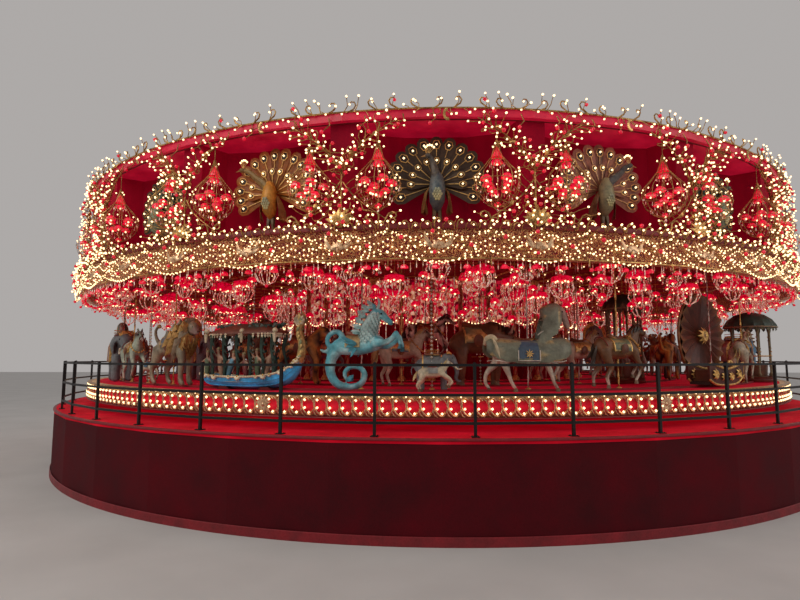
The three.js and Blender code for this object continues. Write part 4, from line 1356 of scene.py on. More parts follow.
def dressCeiling():
    top = ceilingUnder - 0.002
    for row, (count, hung) in hangings.items():
        work = Chandeliers()
        for kind, radius, share, stalk, size in hung:
            at = polar(radius, share * tau / count, top - stalk)
            work.bar(polar(radius, share * tau / count, top), at, thick=0.005)
            getattr(work, kind)(at, size)
        work.grow(row + "Chandelier", count, row + "_chandeliers")
    # gilt ribs and hoops with lamps across the ceiling
    ribs, half, turns = Shape(), ceiling["half"], repeats(ceiling["ribs"])
    for radius in ceiling["hoops"]:
        ribs.rings([[polar(radius - half, a, top), polar(radius, a, top - half), polar(radius + half, a, top)]
                    for a in (-turns["Step"] / 2, turns["Step"] / 2)], closed=False)
    ribs.rings([[Vector((-half, -radius, top)), Vector((0, -radius, top - 0.035)),
                 Vector((half, -radius, top))]
                for radius in (ceiling["inside"], ceiling["outside"])], closed=False)
    copies("ceilingRibs", ribs, gilt, slot="crimson_wall", **turns)
    ribLamps = [(Vector((0, -radius, top - 0.035)), vertical(-1), 1.1) for radius in ceiling["lamps"]]
    lampSet("ceilingLamps", ribLamps, glass=beadGlass, slot="crimson_wall", **turns)


dressCeiling()
print("chandeliers hung")

# round the middle: a pleated curtain of glass, twisted columns, bead strings and bows of lamps
core = {"columns": 40, "columnRadius": 4.75, "column": 0.055, "curtain": 4.4, "curtainFoot": 1.95,
        "pleats": 240, "strings": 3}


def curtain(radius, depth, top, feet):
    # a ring of pleats 20 mm thick, from the top down to the foot of each
    rings = []
    for i, (foot, azimuth) in enumerate(zip(feet, angles(len(feet)))):
        face = radius + (depth if i % 2 else -depth)
        rings.append([polar(out, azimuth, z) for out, z in ((face, top), (face, foot), (face - 0.02, foot),
                                                            (face - 0.02, top))])
    return Shape().rings([*rings, rings[0]], closed=False)


def dressMiddle():
    low, top, pleats = deckTop, ceilingUnder - 0.002, core["pleats"]
    feet = [floorTop + core["curtainFoot"] + 0.12 * abs(sin(core["columns"] * pi * i / pleats))
            for i in range(pleats)]
    piece("glassCurtain", curtain(core["curtain"], 0.05, top, feet), mosaic, sharp=0.3)
    piece("redCurtain", curtain(core["curtain"] - 0.1, 0.04, top, [low + 0.01] * pleats), velvet,
          sharp=0.3)
    # a red column with two gilt strands wound round it
    column, coats, rings = Shape(), [], []
    rows, centre = 22, Vector((0, -core["columnRadius"], 0))
    for row in range(rows + 1):
        raised = [(k + row) % 3 == 0 for k in range(6)]
        coats += [(0.75, 0.5, 0.3, 0.5) if strand else (0.5, 0.0, 0.02, 0.0) for strand in raised]
        rings.append([centre + onCircle(core["column"] * (1.25 if strand else 1.0), a,
                                        low + (top - low) * row / rows)
                      for strand, a in zip(raised, angles(6))])
    column.rings(rings, coats, closed=False)
    for z, lip in ((low, 1), (top, -1)):
        column.spun([(0.11, z), (0.11, z + lip * 0.06), (0.06, z + lip * 0.14)], 8, centre,
                    (0.6, 0.4, 0.15, 0.8))
    turns = repeats(core["columns"])
    copies("middleColumns", column, carved, slot="crimson_wall", **turns)
    lines, bows = [], []
    for k in range(core["strings"]):
        azimuth = turns["Step"] * (k + 0.75) / (core["strings"] + 0.5)
        lines.append([(polar(core["columnRadius"] + 0.1 * (k % 2), azimuth,
                             top - (top - low) * 0.75 * i / 16),
                       1.6 if i % 2 else 0.6) for i in range(17)])
    for i in range(9):
        t = (i + 0.5) / 9
        for high, drop in ((1.75, 0.22), (2.2, 0.18)):
            height = floorTop + high - drop * (1 - (2 * t - 1) ** 2)
            bows.append((polar(core["columnRadius"], turns["Step"] * t, height), Vector((0, -1, 0)), 1.2))
    wires("middleStrings", lines, 0.012, crystal, "crystal_lamps", **turns)
    lampSet("middleBows", bows, glass=beadGlass, slot="crystal_lamps", **turns)
    # the drum: gilt frames on its lit panels
    out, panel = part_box("centre_drum")[1].x, Shape()
    panel.rings([[polar(out + r, a, z) for a, r in ((-0.02, 0.0), (0.0, 0.04), (0.02, 0.0))]
                 for z in (low, top)], closed=False)
    copies("drumFrames", panel, gilt, slot="crimson_wall", **repeats(sectors, sectorTurn / 2))
    for name, z in (("drumFoot", low + 0.001), ("drumRail", low + 1.0), ("drumTop", top - 0.09)):
        lathed(name, (out, z), [(0.001, 0.0), (0.05, 0.01), (0.05, 0.07), (0.001, 0.085)], gilt,
               steps=80)


dressMiddle()
print("middle dressed")

# figures: limbs are laid as tubes, fused into one skin, and dressed with harder pieces
def limb(shape, coat, flat, *points, sides=10, steps=3):
    line = curveThrough(points, steps)
    shape.tube([spot.to_3d() for spot in line], [max(spot[3], 0.006) for spot in line], sides, coat, flat)


def remade(shape, *dressing):
    # the shape after some modifiers, each of its new points in the coat of the nearest old one
    rough = bpy.data.meshes.new("clay")
    rough.from_pydata(shape.points, [], shape.faces)
    holder = bpy.data.objects.new("clay", rough)
    scene.collection.objects.link(holder)
    for kind, settings in dressing:
        modifier = holder.modifiers.new(kind, kind)
        for name, value in settings.items():
            setattr(modifier, name, value)
    mesh = bpy.data.meshes.new_from_object(holder.evaluated_get(bpy.context.evaluated_depsgraph_get()))
    bpy.data.objects.remove(holder)
    tree = KDTree(len(shape.points))
    for i, point in enumerate(shape.points):
        tree.insert(point, i)
    tree.balance()
    points = [tuple(vertex.co) for vertex in mesh.vertices]
    coats = [shape.coats[tree.find(point)[1]] for point in points]
    return Shape().add(points, [list(face.vertices) for face in mesh.polygons], coats)


def lighter(shape, share):
    return remade(shape, ("DECIMATE", {"ratio": share}))


def fused(shape, voxel=0.021, target=2000):
    skin = remade(shape, ("REMESH", {"mode": "VOXEL", "voxel_size": voxel}),
                  ("SMOOTH", {"factor": 0.6, "iterations": 5}))
    return lighter(skin, min(1.0, target / (2 * len(skin.faces))))


def locks(shape, coat, roots, reach, width, side, wave=0.03, rows=5):
    # tresses hanging from each root along its own reach
    for i, root in enumerate(roots):
        root, way = Vector(root), Vector(reach[i] if isinstance(reach, list) else reach)
        spine = [root + way * k + Vector((0, side * wave * sin(3.5 * k + i), 0)) for k in
                 (j / rows for j in range(rows + 1))]
        shape.leaf(spine, width * (0.85 + 0.3 * sin(i * 2.4) ** 2), (0.15, side or -1, 0.2), coat)


def blanket(shape, coat, stations, drop, flat=0.9, thick=0.014, hem=0.0, waves=9):
    # a cloth over the back: stations are (x, height of the spine, radius)
    rings = []
    steps = 14
    for x, height, radius in stations:
        ring = []
        for layer, order in ((thick, range(steps + 1)), (0.0, range(steps, -1, -1))):
            for k in order:
                a = drop * (2 * k / steps - 1)
                low = max(0.0, abs(a) - pi / 2)    # how far the cloth hangs below its half turn
                pull = 1.0 + hem * low * sin(waves * x * 4 + (2 if a > 0 else 0))
                r = radius + layer
                if low:
                    ring.append(Vector((x, copysign(r * flat * pull, a), height - r * low)))
                else:
                    ring.append(Vector((x, r * flat * sin(a), height + r * cos(a))))
        rings.append(ring)
    return shape.rings(rings, coat)


def loop(shape, coat, centre, size, turn=0.0, thick=0.009, sides=4, steps=14):
    # a strap round a limb, its ring leaning by turn about the y axis
    centre = Vector(centre)
    across = Vector((cos(turn), 0, sin(turn)))
    line = [centre + across * size[0] * cos(tau * k / steps) + Vector((0, size[1] * sin(tau * k / steps), 0))
            for k in range(steps + 1)]
    shape.tube(line, thick, sides, coat, blunt=False)


def saddleOn(shape, x, height, radius):
    blanket(shape, "cloth", [(x + dx, height, radius) for dx in (-0.2, -0.1, 0.0, 0.1, 0.19)], 1.75, hem=0.06)
    blanket(shape, "trim", [(x - 0.215, height, radius + 0.004), (x - 0.195, height, radius + 0.006)], 1.78,
            hem=0.06)
    blanket(shape, "trim", [(x + 0.185, height, radius + 0.004), (x + 0.205, height, radius + 0.006)], 1.78,
            hem=0.06)
    limb(shape, "saddle", 1.15, (x - 0.2, 0, height + radius + 0.06, 0.05),
         (x - 0.1, 0, height + radius + 0.01, 0.065), (x + 0.03, 0, height + radius, 0.06),
         (x + 0.13, 0, height + radius + 0.04, 0.035), sides=8)
    for side in (-1, 1):
        shape.ball((x + 0.02, side * (radius + 0.01), height), (0.09, 0.02, 0.11), 8, 5, "saddle")
        shape.tube([(x + 0.04, side * (radius + 0.02), height - 0.06),
                    (x + 0.05, side * (radius + 0.02), height - 0.24)],
                   0.009, 4, "strap", blunt=False)
        loop(shape, "trim", (x + 0.05, side * (radius + 0.02), height - 0.28), (0.045, 0.012), 0.0, 0.008)


def faceOf(shape, eye, nostril, size=0.02):
    for side in (-1, 1):
        shape.ball((eye[0], side * eye[1], eye[2]), size, 6, 4, "eye")
        shape.ball((nostril[0], side * nostril[1], nostril[2]), size * 0.7, 5, 3, "dark")


def ears(shape, root, tip, width=0.035):
    for side in (-1, 1):
        shape.leaf([(root[0], side * root[1], root[2]),
                    (root[0] + 0.3 * (tip[0] - root[0]), side * tip[1], root[2] + 0.5 * (tip[2] - root[2])),
                    (tip[0], side * tip[1], tip[2])], width, (0.7, side * 0.6, 0), "hide")


def hoof(shape, at, lean=0.0, size=0.045):
    shape.rings([[Vector(at) + Vector((lean * z + r * cos(a), r * 0.8 * sin(a), z)) for a in angles(8)]
                 for r, z in ((size, -0.05), (size * 0.95, -0.03), (size * 0.7, 0.02))], "hoof")


def rosette(shape, coat, at, petals, width, knee, tip, side=-1):
    # leaves round a centre that faces along y; knee and tip are (reach, how far they stand out)
    for a in angles(petals):
        shape.leaf([Vector(at) + Vector((reach * cos(a), side * out, reach * sin(a)))
                    for reach, out in ((0.0, 0.0), knee, tip)],
                   width, (0, side, 0), coat)


def slab(shape, coat, left, right, front, back, *heights):
    corners = ((left, front), (right, front), (right, back), (left, back))
    shape.rings([[Vector((x, y, z)) for x, y in corners] for z in heights], coat)


def oblong(long, wide, angle):
    # a point of a rounded oblong round the origin
    return (long * copysign(abs(cos(angle)) ** 0.45, cos(angle)),
            wide * copysign(abs(sin(angle)) ** 0.45, sin(angle)))


horseLegs = {
    "leap": (((0.33, 0.1, 0.82, 0.1), (0.43, 0.11, 0.66, 0.072), (0.56, 0.11, 0.56, 0.05),
              (0.52, 0.11, 0.42, 0.036), (0.44, 0.11, 0.33, 0.034)),
             ((0.32, -0.1, 0.8, 0.1), (0.38, -0.11, 0.6, 0.068), (0.47, -0.11, 0.46, 0.048),
              (0.42, -0.11, 0.32, 0.035), (0.34, -0.11, 0.22, 0.034)),
             ((-0.4, 0.11, 0.8, 0.14), (-0.4, 0.12, 0.6, 0.1), (-0.36, 0.12, 0.45, 0.064),
              (-0.5, 0.12, 0.31, 0.044), (-0.5, 0.12, 0.17, 0.036)),
             ((-0.4, -0.11, 0.8, 0.14), (-0.34, -0.12, 0.6, 0.1), (-0.26, -0.12, 0.44, 0.064),
              (-0.38, -0.12, 0.28, 0.044), (-0.34, -0.12, 0.14, 0.036))),
    "stand": (((0.32, 0.1, 0.8, 0.1), (0.34, 0.11, 0.58, 0.066), (0.36, 0.11, 0.4, 0.046),
               (0.34, 0.11, 0.22, 0.036), (0.36, 0.11, 0.1, 0.036)),
              ((0.32, -0.1, 0.8, 0.1), (0.42, -0.11, 0.66, 0.07), (0.54, -0.11, 0.52, 0.046),
               (0.46, -0.11, 0.4, 0.036), (0.38, -0.11, 0.34, 0.034)),
              ((-0.4, 0.11, 0.8, 0.14), (-0.42, 0.12, 0.6, 0.1), (-0.38, 0.12, 0.42, 0.06),
               (-0.48, 0.12, 0.26, 0.042), (-0.44, 0.12, 0.1, 0.036)),
              ((-0.38, -0.11, 0.8, 0.14), (-0.3, -0.12, 0.6, 0.1), (-0.24, -0.12, 0.44, 0.062),
               (-0.32, -0.12, 0.26, 0.042), (-0.26, -0.12, 0.1, 0.036))),
}


def horse(gait):
    clay = Shape()
    limb(clay, "hide", 0.84, (-0.47, 0, 0.83, 0.12), (-0.37, 0, 0.87, 0.19), (-0.14, 0, 0.81, 0.2),
         (0.1, 0, 0.8, 0.19), (0.3, 0, 0.87, 0.185), (0.4, 0, 0.95, 0.12))
    limb(clay, "hide", 0.7, (0.24, 0, 0.88, 0.17), (0.36, 0, 1.02, 0.15), (0.44, 0, 1.15, 0.115),
         (0.5, 0, 1.24, 0.08))
    limb(clay, "hide", 0.72, (0.47, 0, 1.24, 0.08), (0.56, 0, 1.2, 0.08), (0.66, 0, 1.12, 0.056),
         (0.75, 0, 1.07, 0.046))
    limb(clay, "muzzle", 0.8, (0.72, 0, 1.09, 0.045), (0.77, 0, 1.06, 0.042))
    for leg in horseLegs[gait]:
        limb(clay, "hide", 0.85, *leg[:4])
        limb(clay, "sock", 0.9, *leg[3:], (leg[4][0], leg[4][1], leg[4][2] - 0.03, 0.036))
    made = fused(clay)
    for leg in horseLegs[gait]:
        hoof(made, (leg[4][0], leg[4][1], leg[4][2] - 0.04))
    faceOf(made, (0.58, 0.062, 1.22), (0.775, 0.03, 1.075))
    ears(made, (0.49, 0.035, 1.29), (0.5, 0.05, 1.38))
    crest = [(0.52, 1.32), (0.46, 1.3), (0.4, 1.24), (0.35, 1.17), (0.3, 1.11), (0.25, 1.06), (0.2, 1.02)]
    for side in (-1, 1):
        locks(made, "mane", [(x, side * 0.02, z) for x, z in crest], (-0.1, side * 0.1, -0.17), 0.035, side)
    locks(made, "mane", [(0.52, 0.0, 1.33), (0.53, 0.02, 1.33)], (0.12, 0, -0.07), 0.022, 1)
    locks(made, "mane",
          [(-0.52, y, 0.92) for y in (-0.03, 0.0, 0.03)] + [(-0.54, 0.015, 0.88), (-0.54, -0.015, 0.88)],
          [(-0.1, 0, -0.44), (-0.15, 0, -0.38), (-0.09, 0, -0.5), (-0.18, 0.05, -0.3),
           (-0.14, -0.05, -0.42)], 0.04, 1, 0.05)
    saddleOn(made, 0.0, 0.81, 0.2)
    loop(made, "strap", (0.66, 0, 1.12), (0.062, 0.05), radians(55))
    loop(made, "strap", (0.53, 0, 1.22), (0.095, 0.075), radians(50))
    loop(made, "trim", (0.33, 0, 0.93), (0.21, 0.15), radians(-48), 0.014)
    for k in range(7):
        a = pi * (k - 3) / 7
        made.ball((0.33 + 0.14 * cos(a) + 0.02, 0.155 * sin(a), 0.93 - 0.155 * cos(a)), 0.022, 6, 3, "trim")
    loop(made, "strap", (-0.38, 0, 0.9), (0.17, 0.175), radians(-60), 0.011)
    return made


def drapedHorse():
    # a long-legged horse under a cloth to the hocks, with a tall square hood over its neck
    clay = Shape()
    limb(clay, "hide", 0.9, (-0.6, 0, 0.7, 0.12), (-0.45, 0, 0.7, 0.17), (-0.15, 0, 0.66, 0.18),
         (0.15, 0, 0.66, 0.18), (0.34, 0, 0.74, 0.16))
    limb(clay, "muzzle", 0.85, (0.52, 0, 1.42, 0.09), (0.62, 0, 1.38, 0.085), (0.69, 0, 1.24, 0.062),
         (0.745, 0, 1.1, 0.05))
    legs = (((-0.48, 0.09, 0.62, 0.13), (-0.54, 0.1, 0.48, 0.078), (-0.7, 0.1, 0.32, 0.045),
             (-0.73, 0.1, 0.16, 0.033), (-0.67, 0.1, 0.06, 0.034)),
            ((-0.44, -0.09, 0.62, 0.13), (-0.44, -0.1, 0.47, 0.08), (-0.38, -0.1, 0.3, 0.046),
             (-0.33, -0.1, 0.16, 0.034), (-0.27, -0.1, 0.06, 0.034)),
            ((0.26, -0.09, 0.62, 0.1), (0.31, -0.1, 0.46, 0.06), (0.38, -0.1, 0.3, 0.044),
             (0.42, -0.1, 0.16, 0.032), (0.48, -0.1, 0.06, 0.034)),
            ((0.34, 0.09, 0.62, 0.1), (0.44, 0.1, 0.5, 0.058), (0.58, 0.1, 0.45, 0.042),
             (0.55, 0.1, 0.34, 0.032), (0.5, 0.1, 0.26, 0.034)))
    for leg in legs:
        limb(clay, "sock", 0.9, *leg)
    made = fused(clay, 0.018, 2200)
    for leg in legs:
        hoof(made, (leg[4][0] + 0.01, leg[4][1], leg[4][2] - 0.02))
    faceOf(made, (0.62, 0.068, 1.37), (0.755, 0.03, 1.1), 0.016)
    cloth = Shape()
    blanket(cloth, "drape",
            [(-0.78, 0.74, 0.1), (-0.68, 0.72, 0.17), (-0.45, 0.67, 0.215), (-0.15, 0.63, 0.22),
             (0.15, 0.63, 0.22), (0.4, 0.67, 0.22), (0.62, 0.7, 0.2), (0.74, 0.74, 0.13)],
            pi / 2 + 0.72, 0.95, 0.03, 0.1)
    blanket(cloth, "drape",
            [(0.16, 0.86, 0.12), (0.24, 1.1, 0.15), (0.34, 1.26, 0.16), (0.52, 1.36, 0.15),
             (0.6, 1.38, 0.09)], pi / 2 + 2.1, 0.8, 0.03, 0.05)
    limb(cloth, "drape", 1.1, (0.3, 0, 1.36, 0.1), (0.45, 0, 1.42, 0.11), (0.56, 0, 1.44, 0.08))
    made.take(fused(cloth, 0.023, 2200))
    blanket(made, "square", [(x, 0.63, 0.236) for x in (-0.24, -0.15, -0.06, 0.03, 0.12)], pi / 2 + 0.5,
            0.97, 0.012, 0.02)
    for side in (-1, 1):
        for x0 in (-0.25, 0.13):
            made.tube([(x0, side * 0.246, 0.7), (x0, side * 0.25, 0.52)], 0.009, 4, "piping", blunt=False)
        made.tube([(-0.25, side * 0.25, 0.525), (0.13, side * 0.25, 0.525)], 0.009, 4, "piping", blunt=False)
        rosette(made, "trim", (-0.06, side * 0.252, 0.64), 8, 0.014, (0.04, 0.01), (0.08, -0.002), side)
        hem = [(-0.66 + 1.28 * k / 20, side * (0.2 + 0.012 * sin(k * 2.1)), 0.515 + 0.012 * sin(k * 1.3))
               for k in range(21)]
        made.tube(hem, 0.011, 4, "piping", blunt=False)
        low = ((0.14, 0.12, 0.96), (0.24, 0.135, 1.03), (0.4, 0.135, 1.08), (0.56, 0.12, 1.07))
        made.tube(curveThrough([(x, side * y, z) for x, y, z in low], 3), 0.009, 4, "piping", blunt=False)
    locks(made, "mane", [(-0.66, y, 0.9) for y in (-0.16, -0.12, -0.08, -0.04)],
          [(0.1 + 0.03 * k, -0.07, -0.34 + 0.03 * k) for k in range(4)], 0.034, -1, 0.03)
    limb(made, "mane", 0.8, (-0.76, -0.02, 0.8, 0.035), (-0.74, -0.06, 0.9, 0.045),
         (-0.66, -0.1, 0.93, 0.045), (-0.6, -0.14, 0.88, 0.035), sides=8)
    limb(made, "saddle", 1.2, (-0.22, 0, 0.88, 0.05), (-0.1, 0, 0.85, 0.06), (0.02, 0, 0.85, 0.06),
         (0.12, 0, 0.9, 0.035), sides=8)
    return made


def seaHorse():
    # a horse in front and a coiled tail behind, with scales up its neck
    clay = Shape()
    limb(clay, "hide", 0.9, (-0.46, 0, 0.76, 0.13), (-0.28, 0, 0.78, 0.165), (0.0, 0, 0.79, 0.17),
         (0.24, 0, 0.84, 0.15), (0.34, 0, 0.86, 0.1))
    limb(clay, "scale", 0.85, (0.12, 0, 0.92, 0.17), (0.13, 0, 1.08, 0.145), (0.18, 0, 1.22, 0.12),
         (0.25, 0, 1.34, 0.095))
    limb(clay, "hide", 0.78, (0.22, 0, 1.37, 0.085), (0.34, 0, 1.33, 0.082), (0.44, 0, 1.24, 0.06),
         (0.53, 0, 1.16, 0.052))
    limb(clay, "hide", 0.9, (-0.42, 0, 0.74, 0.12), (-0.54, 0, 0.56, 0.1), (-0.56, 0, 0.34, 0.086),
         (-0.45, 0, 0.14, 0.078), (-0.24, 0, 0.07, 0.068), (-0.02, 0, 0.12, 0.06), (0.06, 0, 0.28, 0.054),
         (-0.02, 0, 0.4, 0.05), (-0.18, 0, 0.42, 0.046), (-0.3, 0, 0.32, 0.042), (-0.26, 0, 0.2, 0.034))
    limb(clay, "hide", 0.9, (-0.36, 0, 0.88, 0.07), (-0.36, 0, 0.98, 0.055), (-0.47, 0, 1.03, 0.05),
         (-0.59, 0, 0.96, 0.048), (-0.62, 0, 0.84, 0.046), (-0.56, 0, 0.74, 0.044), (-0.66, 0, 0.68, 0.036),
         (-0.74, 0, 0.72, 0.026))
    for side in (-1, 1):
        rise = 0.05 if side < 0 else 0.0
        limb(clay, "hide", 0.85, (0.26, side * 0.09, 0.84, 0.1), (0.42, side * 0.12, 0.78 + rise, 0.062),
             (0.57, side * 0.12, 0.86 + rise, 0.05), (0.63, side * 0.12, 0.96 + rise, 0.042),
             (0.68, side * 0.12, 0.84 + rise, 0.036), (0.7, side * 0.12, 0.76 + rise, 0.042))
    made = fused(clay, 0.019, 3200)
    faceOf(made, (0.36, 0.066, 1.33), (0.545, 0.03, 1.16), 0.017)
    ears(made, (0.24, 0.04, 1.42), (0.2, 0.07, 1.52))
    for side in (-1, 1):
        made.tube(curveThrough([(0.28, side * 0.04, 1.41), (0.31, side * 0.05, 1.52),
                                (0.29, side * 0.055, 1.62)], 3),
                  (0.022, 0.02, 0.018, 0.016, 0.013, 0.01, 0.006), 5, "scale", blunt=False)
    # rows of scales, and a mane of points down the back of the neck
    for row in range(13):
        t = row / 12
        middle = Vector((0.1 + 0.15 * t ** 1.6, 0, 0.86 + 0.46 * t))
        size = 0.172 - 0.08 * t
        for a in angles(12, 0.5 * (row % 2)):
            out = Vector((cos(a), 0.86 * sin(a), 0))
            made.leaf([middle + out * size + vertical(0.035), middle + out * (size + 0.02),
                       middle + out * (size + 0.012) - vertical(0.045)],
                      0.03, out, "scale")
    spikes = [(0.16, 1.46), (0.08, 1.4), (0.02, 1.31), (-0.02, 1.21), (-0.05, 1.11), (-0.07, 1.02)]
    locks(made, "scale", [(x + 0.04, 0.0, z) for x, z in spikes],
          [(-0.12 - 0.01 * k, 0, 0.12 - 0.02 * k) for k in range(6)], 0.045, 0, 0.0)
    for side in (-1, 1):
        locks(made, "mane", [(x + 0.06, side * 0.06, z - 0.02) for x, z in spikes],
              (-0.13, side * 0.07, 0.0), 0.03, side)
        locks(made, "fin", [(-0.05, side * 0.15, 0.82)] * 5,
              [(-0.28 + 0.05 * k, side * 0.08, 0.12 - 0.09 * k) for k in range(5)], 0.035, side)
        locks(made, "fin", [(-0.25, 0, 0.18)] * 3, [(0.1, side * 0.08, 0.02 + 0.04 * k) for k in range(3)],
              0.03, side)
        hoof(made, (0.7, side * 0.12, 0.73 + (0.05 if side < 0 else 0.0)), 0.2, 0.04)
    blanket(made, "cloth", [(x, 0.78, 0.172) for x in (-0.26, -0.17, -0.08, 0.0)], 1.7, hem=0.05)
    limb(made, "saddle", 1.1, (-0.26, 0, 1.0, 0.045), (-0.14, 0, 0.97, 0.055), (-0.02, 0, 1.0, 0.03), sides=8)
    return made


def elephant():
    clay = Shape()
    limb(clay, "hide", 0.9, (-0.44, 0, 0.68, 0.22), (-0.26, 0, 0.76, 0.3), (0.06, 0, 0.8, 0.31),
         (0.32, 0, 0.84, 0.25))
    limb(clay, "hide", 0.85, (0.36, 0, 0.92, 0.2), (0.5, 0, 1.0, 0.2), (0.6, 0, 0.92, 0.16))
    limb(clay, "hide", 0.95, (0.62, 0, 0.92, 0.13), (0.71, 0, 0.76, 0.095), (0.74, 0, 0.56, 0.075),
         (0.7, 0, 0.4, 0.06), (0.78, 0, 0.3, 0.05), (0.86, 0, 0.33, 0.045))
    for side in (-1, 1):
        limb(clay, "hide", 0.95, (-0.36, side * 0.16, 0.6, 0.15), (-0.36, side * 0.17, 0.34, 0.115),
             (-0.36, side * 0.17, 0.06, 0.115))
        limb(clay, "hide", 0.95, (0.3, side * 0.15, 0.62, 0.14), (0.33, side * 0.16, 0.34, 0.105),
             (0.34, side * 0.16, 0.06, 0.11))
        limb(clay, "hide", 0.3, (0.44, side * 0.2, 1.06, 0.12), (0.36, side * 0.26, 0.92, 0.17),
             (0.36, side * 0.25, 0.72, 0.1))
    limb(clay, "hide", 1.0, (-0.6, 0, 0.8, 0.03), (-0.66, 0, 0.66, 0.025), (-0.64, 0, 0.48, 0.02))
    made = fused(clay, 0.026, 2000)
    for side in (-1, 1):
        made.tube(curveThrough([(0.64, side * 0.1, 0.8), (0.76, side * 0.13, 0.68),
                                (0.9, side * 0.12, 0.7)], 3),
                  (0.034, 0.032, 0.03, 0.027, 0.023, 0.018, 0.01), 6, "tusk")
    faceOf(made, (0.6, 0.13, 1.02), (0.88, 0.02, 0.36))
    blanket(made, "cloth", [(x, 0.79, 0.32) for x in (-0.3, -0.15, 0.0, 0.15, 0.26)], pi / 2 + 0.9, 0.92,
            0.016, 0.06)
    for x in (-0.31, 0.265):
        blanket(made, "trim", [(x - 0.02, 0.79, 0.325), (x + 0.02, 0.79, 0.325)], pi / 2 + 0.92, 0.92, 0.02,
                0.06)
    blanket(made, "trim", [(0.42, 1.0, 0.205), (0.5, 1.02, 0.205), (0.58, 0.98, 0.18)], 0.9, 0.85)
    slab(made, "saddle", -0.24, 0.2, -0.2, 0.2, 1.1, 1.16)
    for x0, y0, x1, y1 in ((-0.24, -0.2, 0.2, -0.2), (0.2, 0.2, -0.24, 0.2), (-0.24, 0.2, -0.24, -0.2)):
        for z in (1.2, 1.26):
            made.tube([(x0, y0, z), (x1, y1, z)], 0.012, 4, "trim")
    return made


def bigCat(maned=False):
    clay = Shape()
    limb(clay, "hide", 0.82, (-0.4, 0, 0.72, 0.15), (-0.24, 0, 0.74, 0.19), (0.04, 0, 0.76, 0.175),
         (0.26, 0, 0.82, 0.2), (0.38, 0, 0.88, 0.16))
    limb(clay, "hide", 0.85, (0.34, 0, 0.92, 0.15), (0.46, 0, 1.03, 0.13), (0.56, 0, 1.06, 0.125),
         (0.62, 0, 1.02, 0.1))
    limb(clay, "muzzle", 0.95, (0.62, 0, 1.0, 0.075), (0.7, 0, 0.97, 0.055))
    for side, reach in ((-1, 0.12), (1, 0.0)):
        limb(clay, "hide", 0.85, (0.3, side * 0.1, 0.76, 0.11), (0.33 + reach, side * 0.12, 0.5, 0.08),
             (0.3 + reach, side * 0.12, 0.26, 0.056), (0.32 + reach, side * 0.12, 0.1, 0.056),
             (0.39 + reach, side * 0.12, 0.06, 0.052))
        limb(clay, "hide", 0.8, (-0.34, side * 0.1, 0.68, 0.15), (-0.3 - reach, side * 0.12, 0.46, 0.1),
             (-0.42 - reach, side * 0.12, 0.3, 0.056), (-0.38 - reach, side * 0.12, 0.12, 0.05),
             (-0.3 - reach, side * 0.12, 0.06, 0.052))
    limb(clay, "hide", 1.0, (-0.5, 0, 0.78, 0.05), (-0.64, 0, 0.9, 0.036), (-0.68, 0, 1.04, 0.032),
         (-0.58, 0, 1.12, 0.03))
    made = fused(clay)
    made.ball((-0.56, 0, 1.12), (0.06, 0.04, 0.04), 6, 4, "mane")
    faceOf(made, (0.645, 0.055, 1.07), (0.74, 0.015, 0.99), 0.016)
    ears(made, (0.52, 0.07, 1.13), (0.5, 0.1, 1.22), 0.04)
    if maned:
        for row, (size, reach) in enumerate(((0.11, 0.16), (0.14, 0.22), (0.15, 0.25), (0.17, 0.24))):
            for k, a in enumerate(angles(13, 0.5 * row)):
                root = Vector((0.57 - 0.09 * row, size * sin(a), 1.03 - 0.06 * row + size * cos(a)))
                made.leaf([root, root + Vector((-0.04, reach * 0.6 * sin(a), reach * 0.6 * cos(a))),
                           root + Vector((-0.11, reach * 0.85 * sin(a), reach * 0.7 * cos(a) - 0.11))], 0.06,
                          (0.6, sin(a), cos(a)), "mane" if (k + row) % 3 else "hide")
        for row in range(5):
            locks(made, "mane",
                  [(0.5 - 0.04 * row, y, 0.95 - 0.07 * row) for y in (-0.12, -0.06, 0.0, 0.06, 0.12)],
                  (0.05, 0, -0.2), 0.045, -1)
    saddleOn(made, 0.0, 0.755, 0.18)
    return made


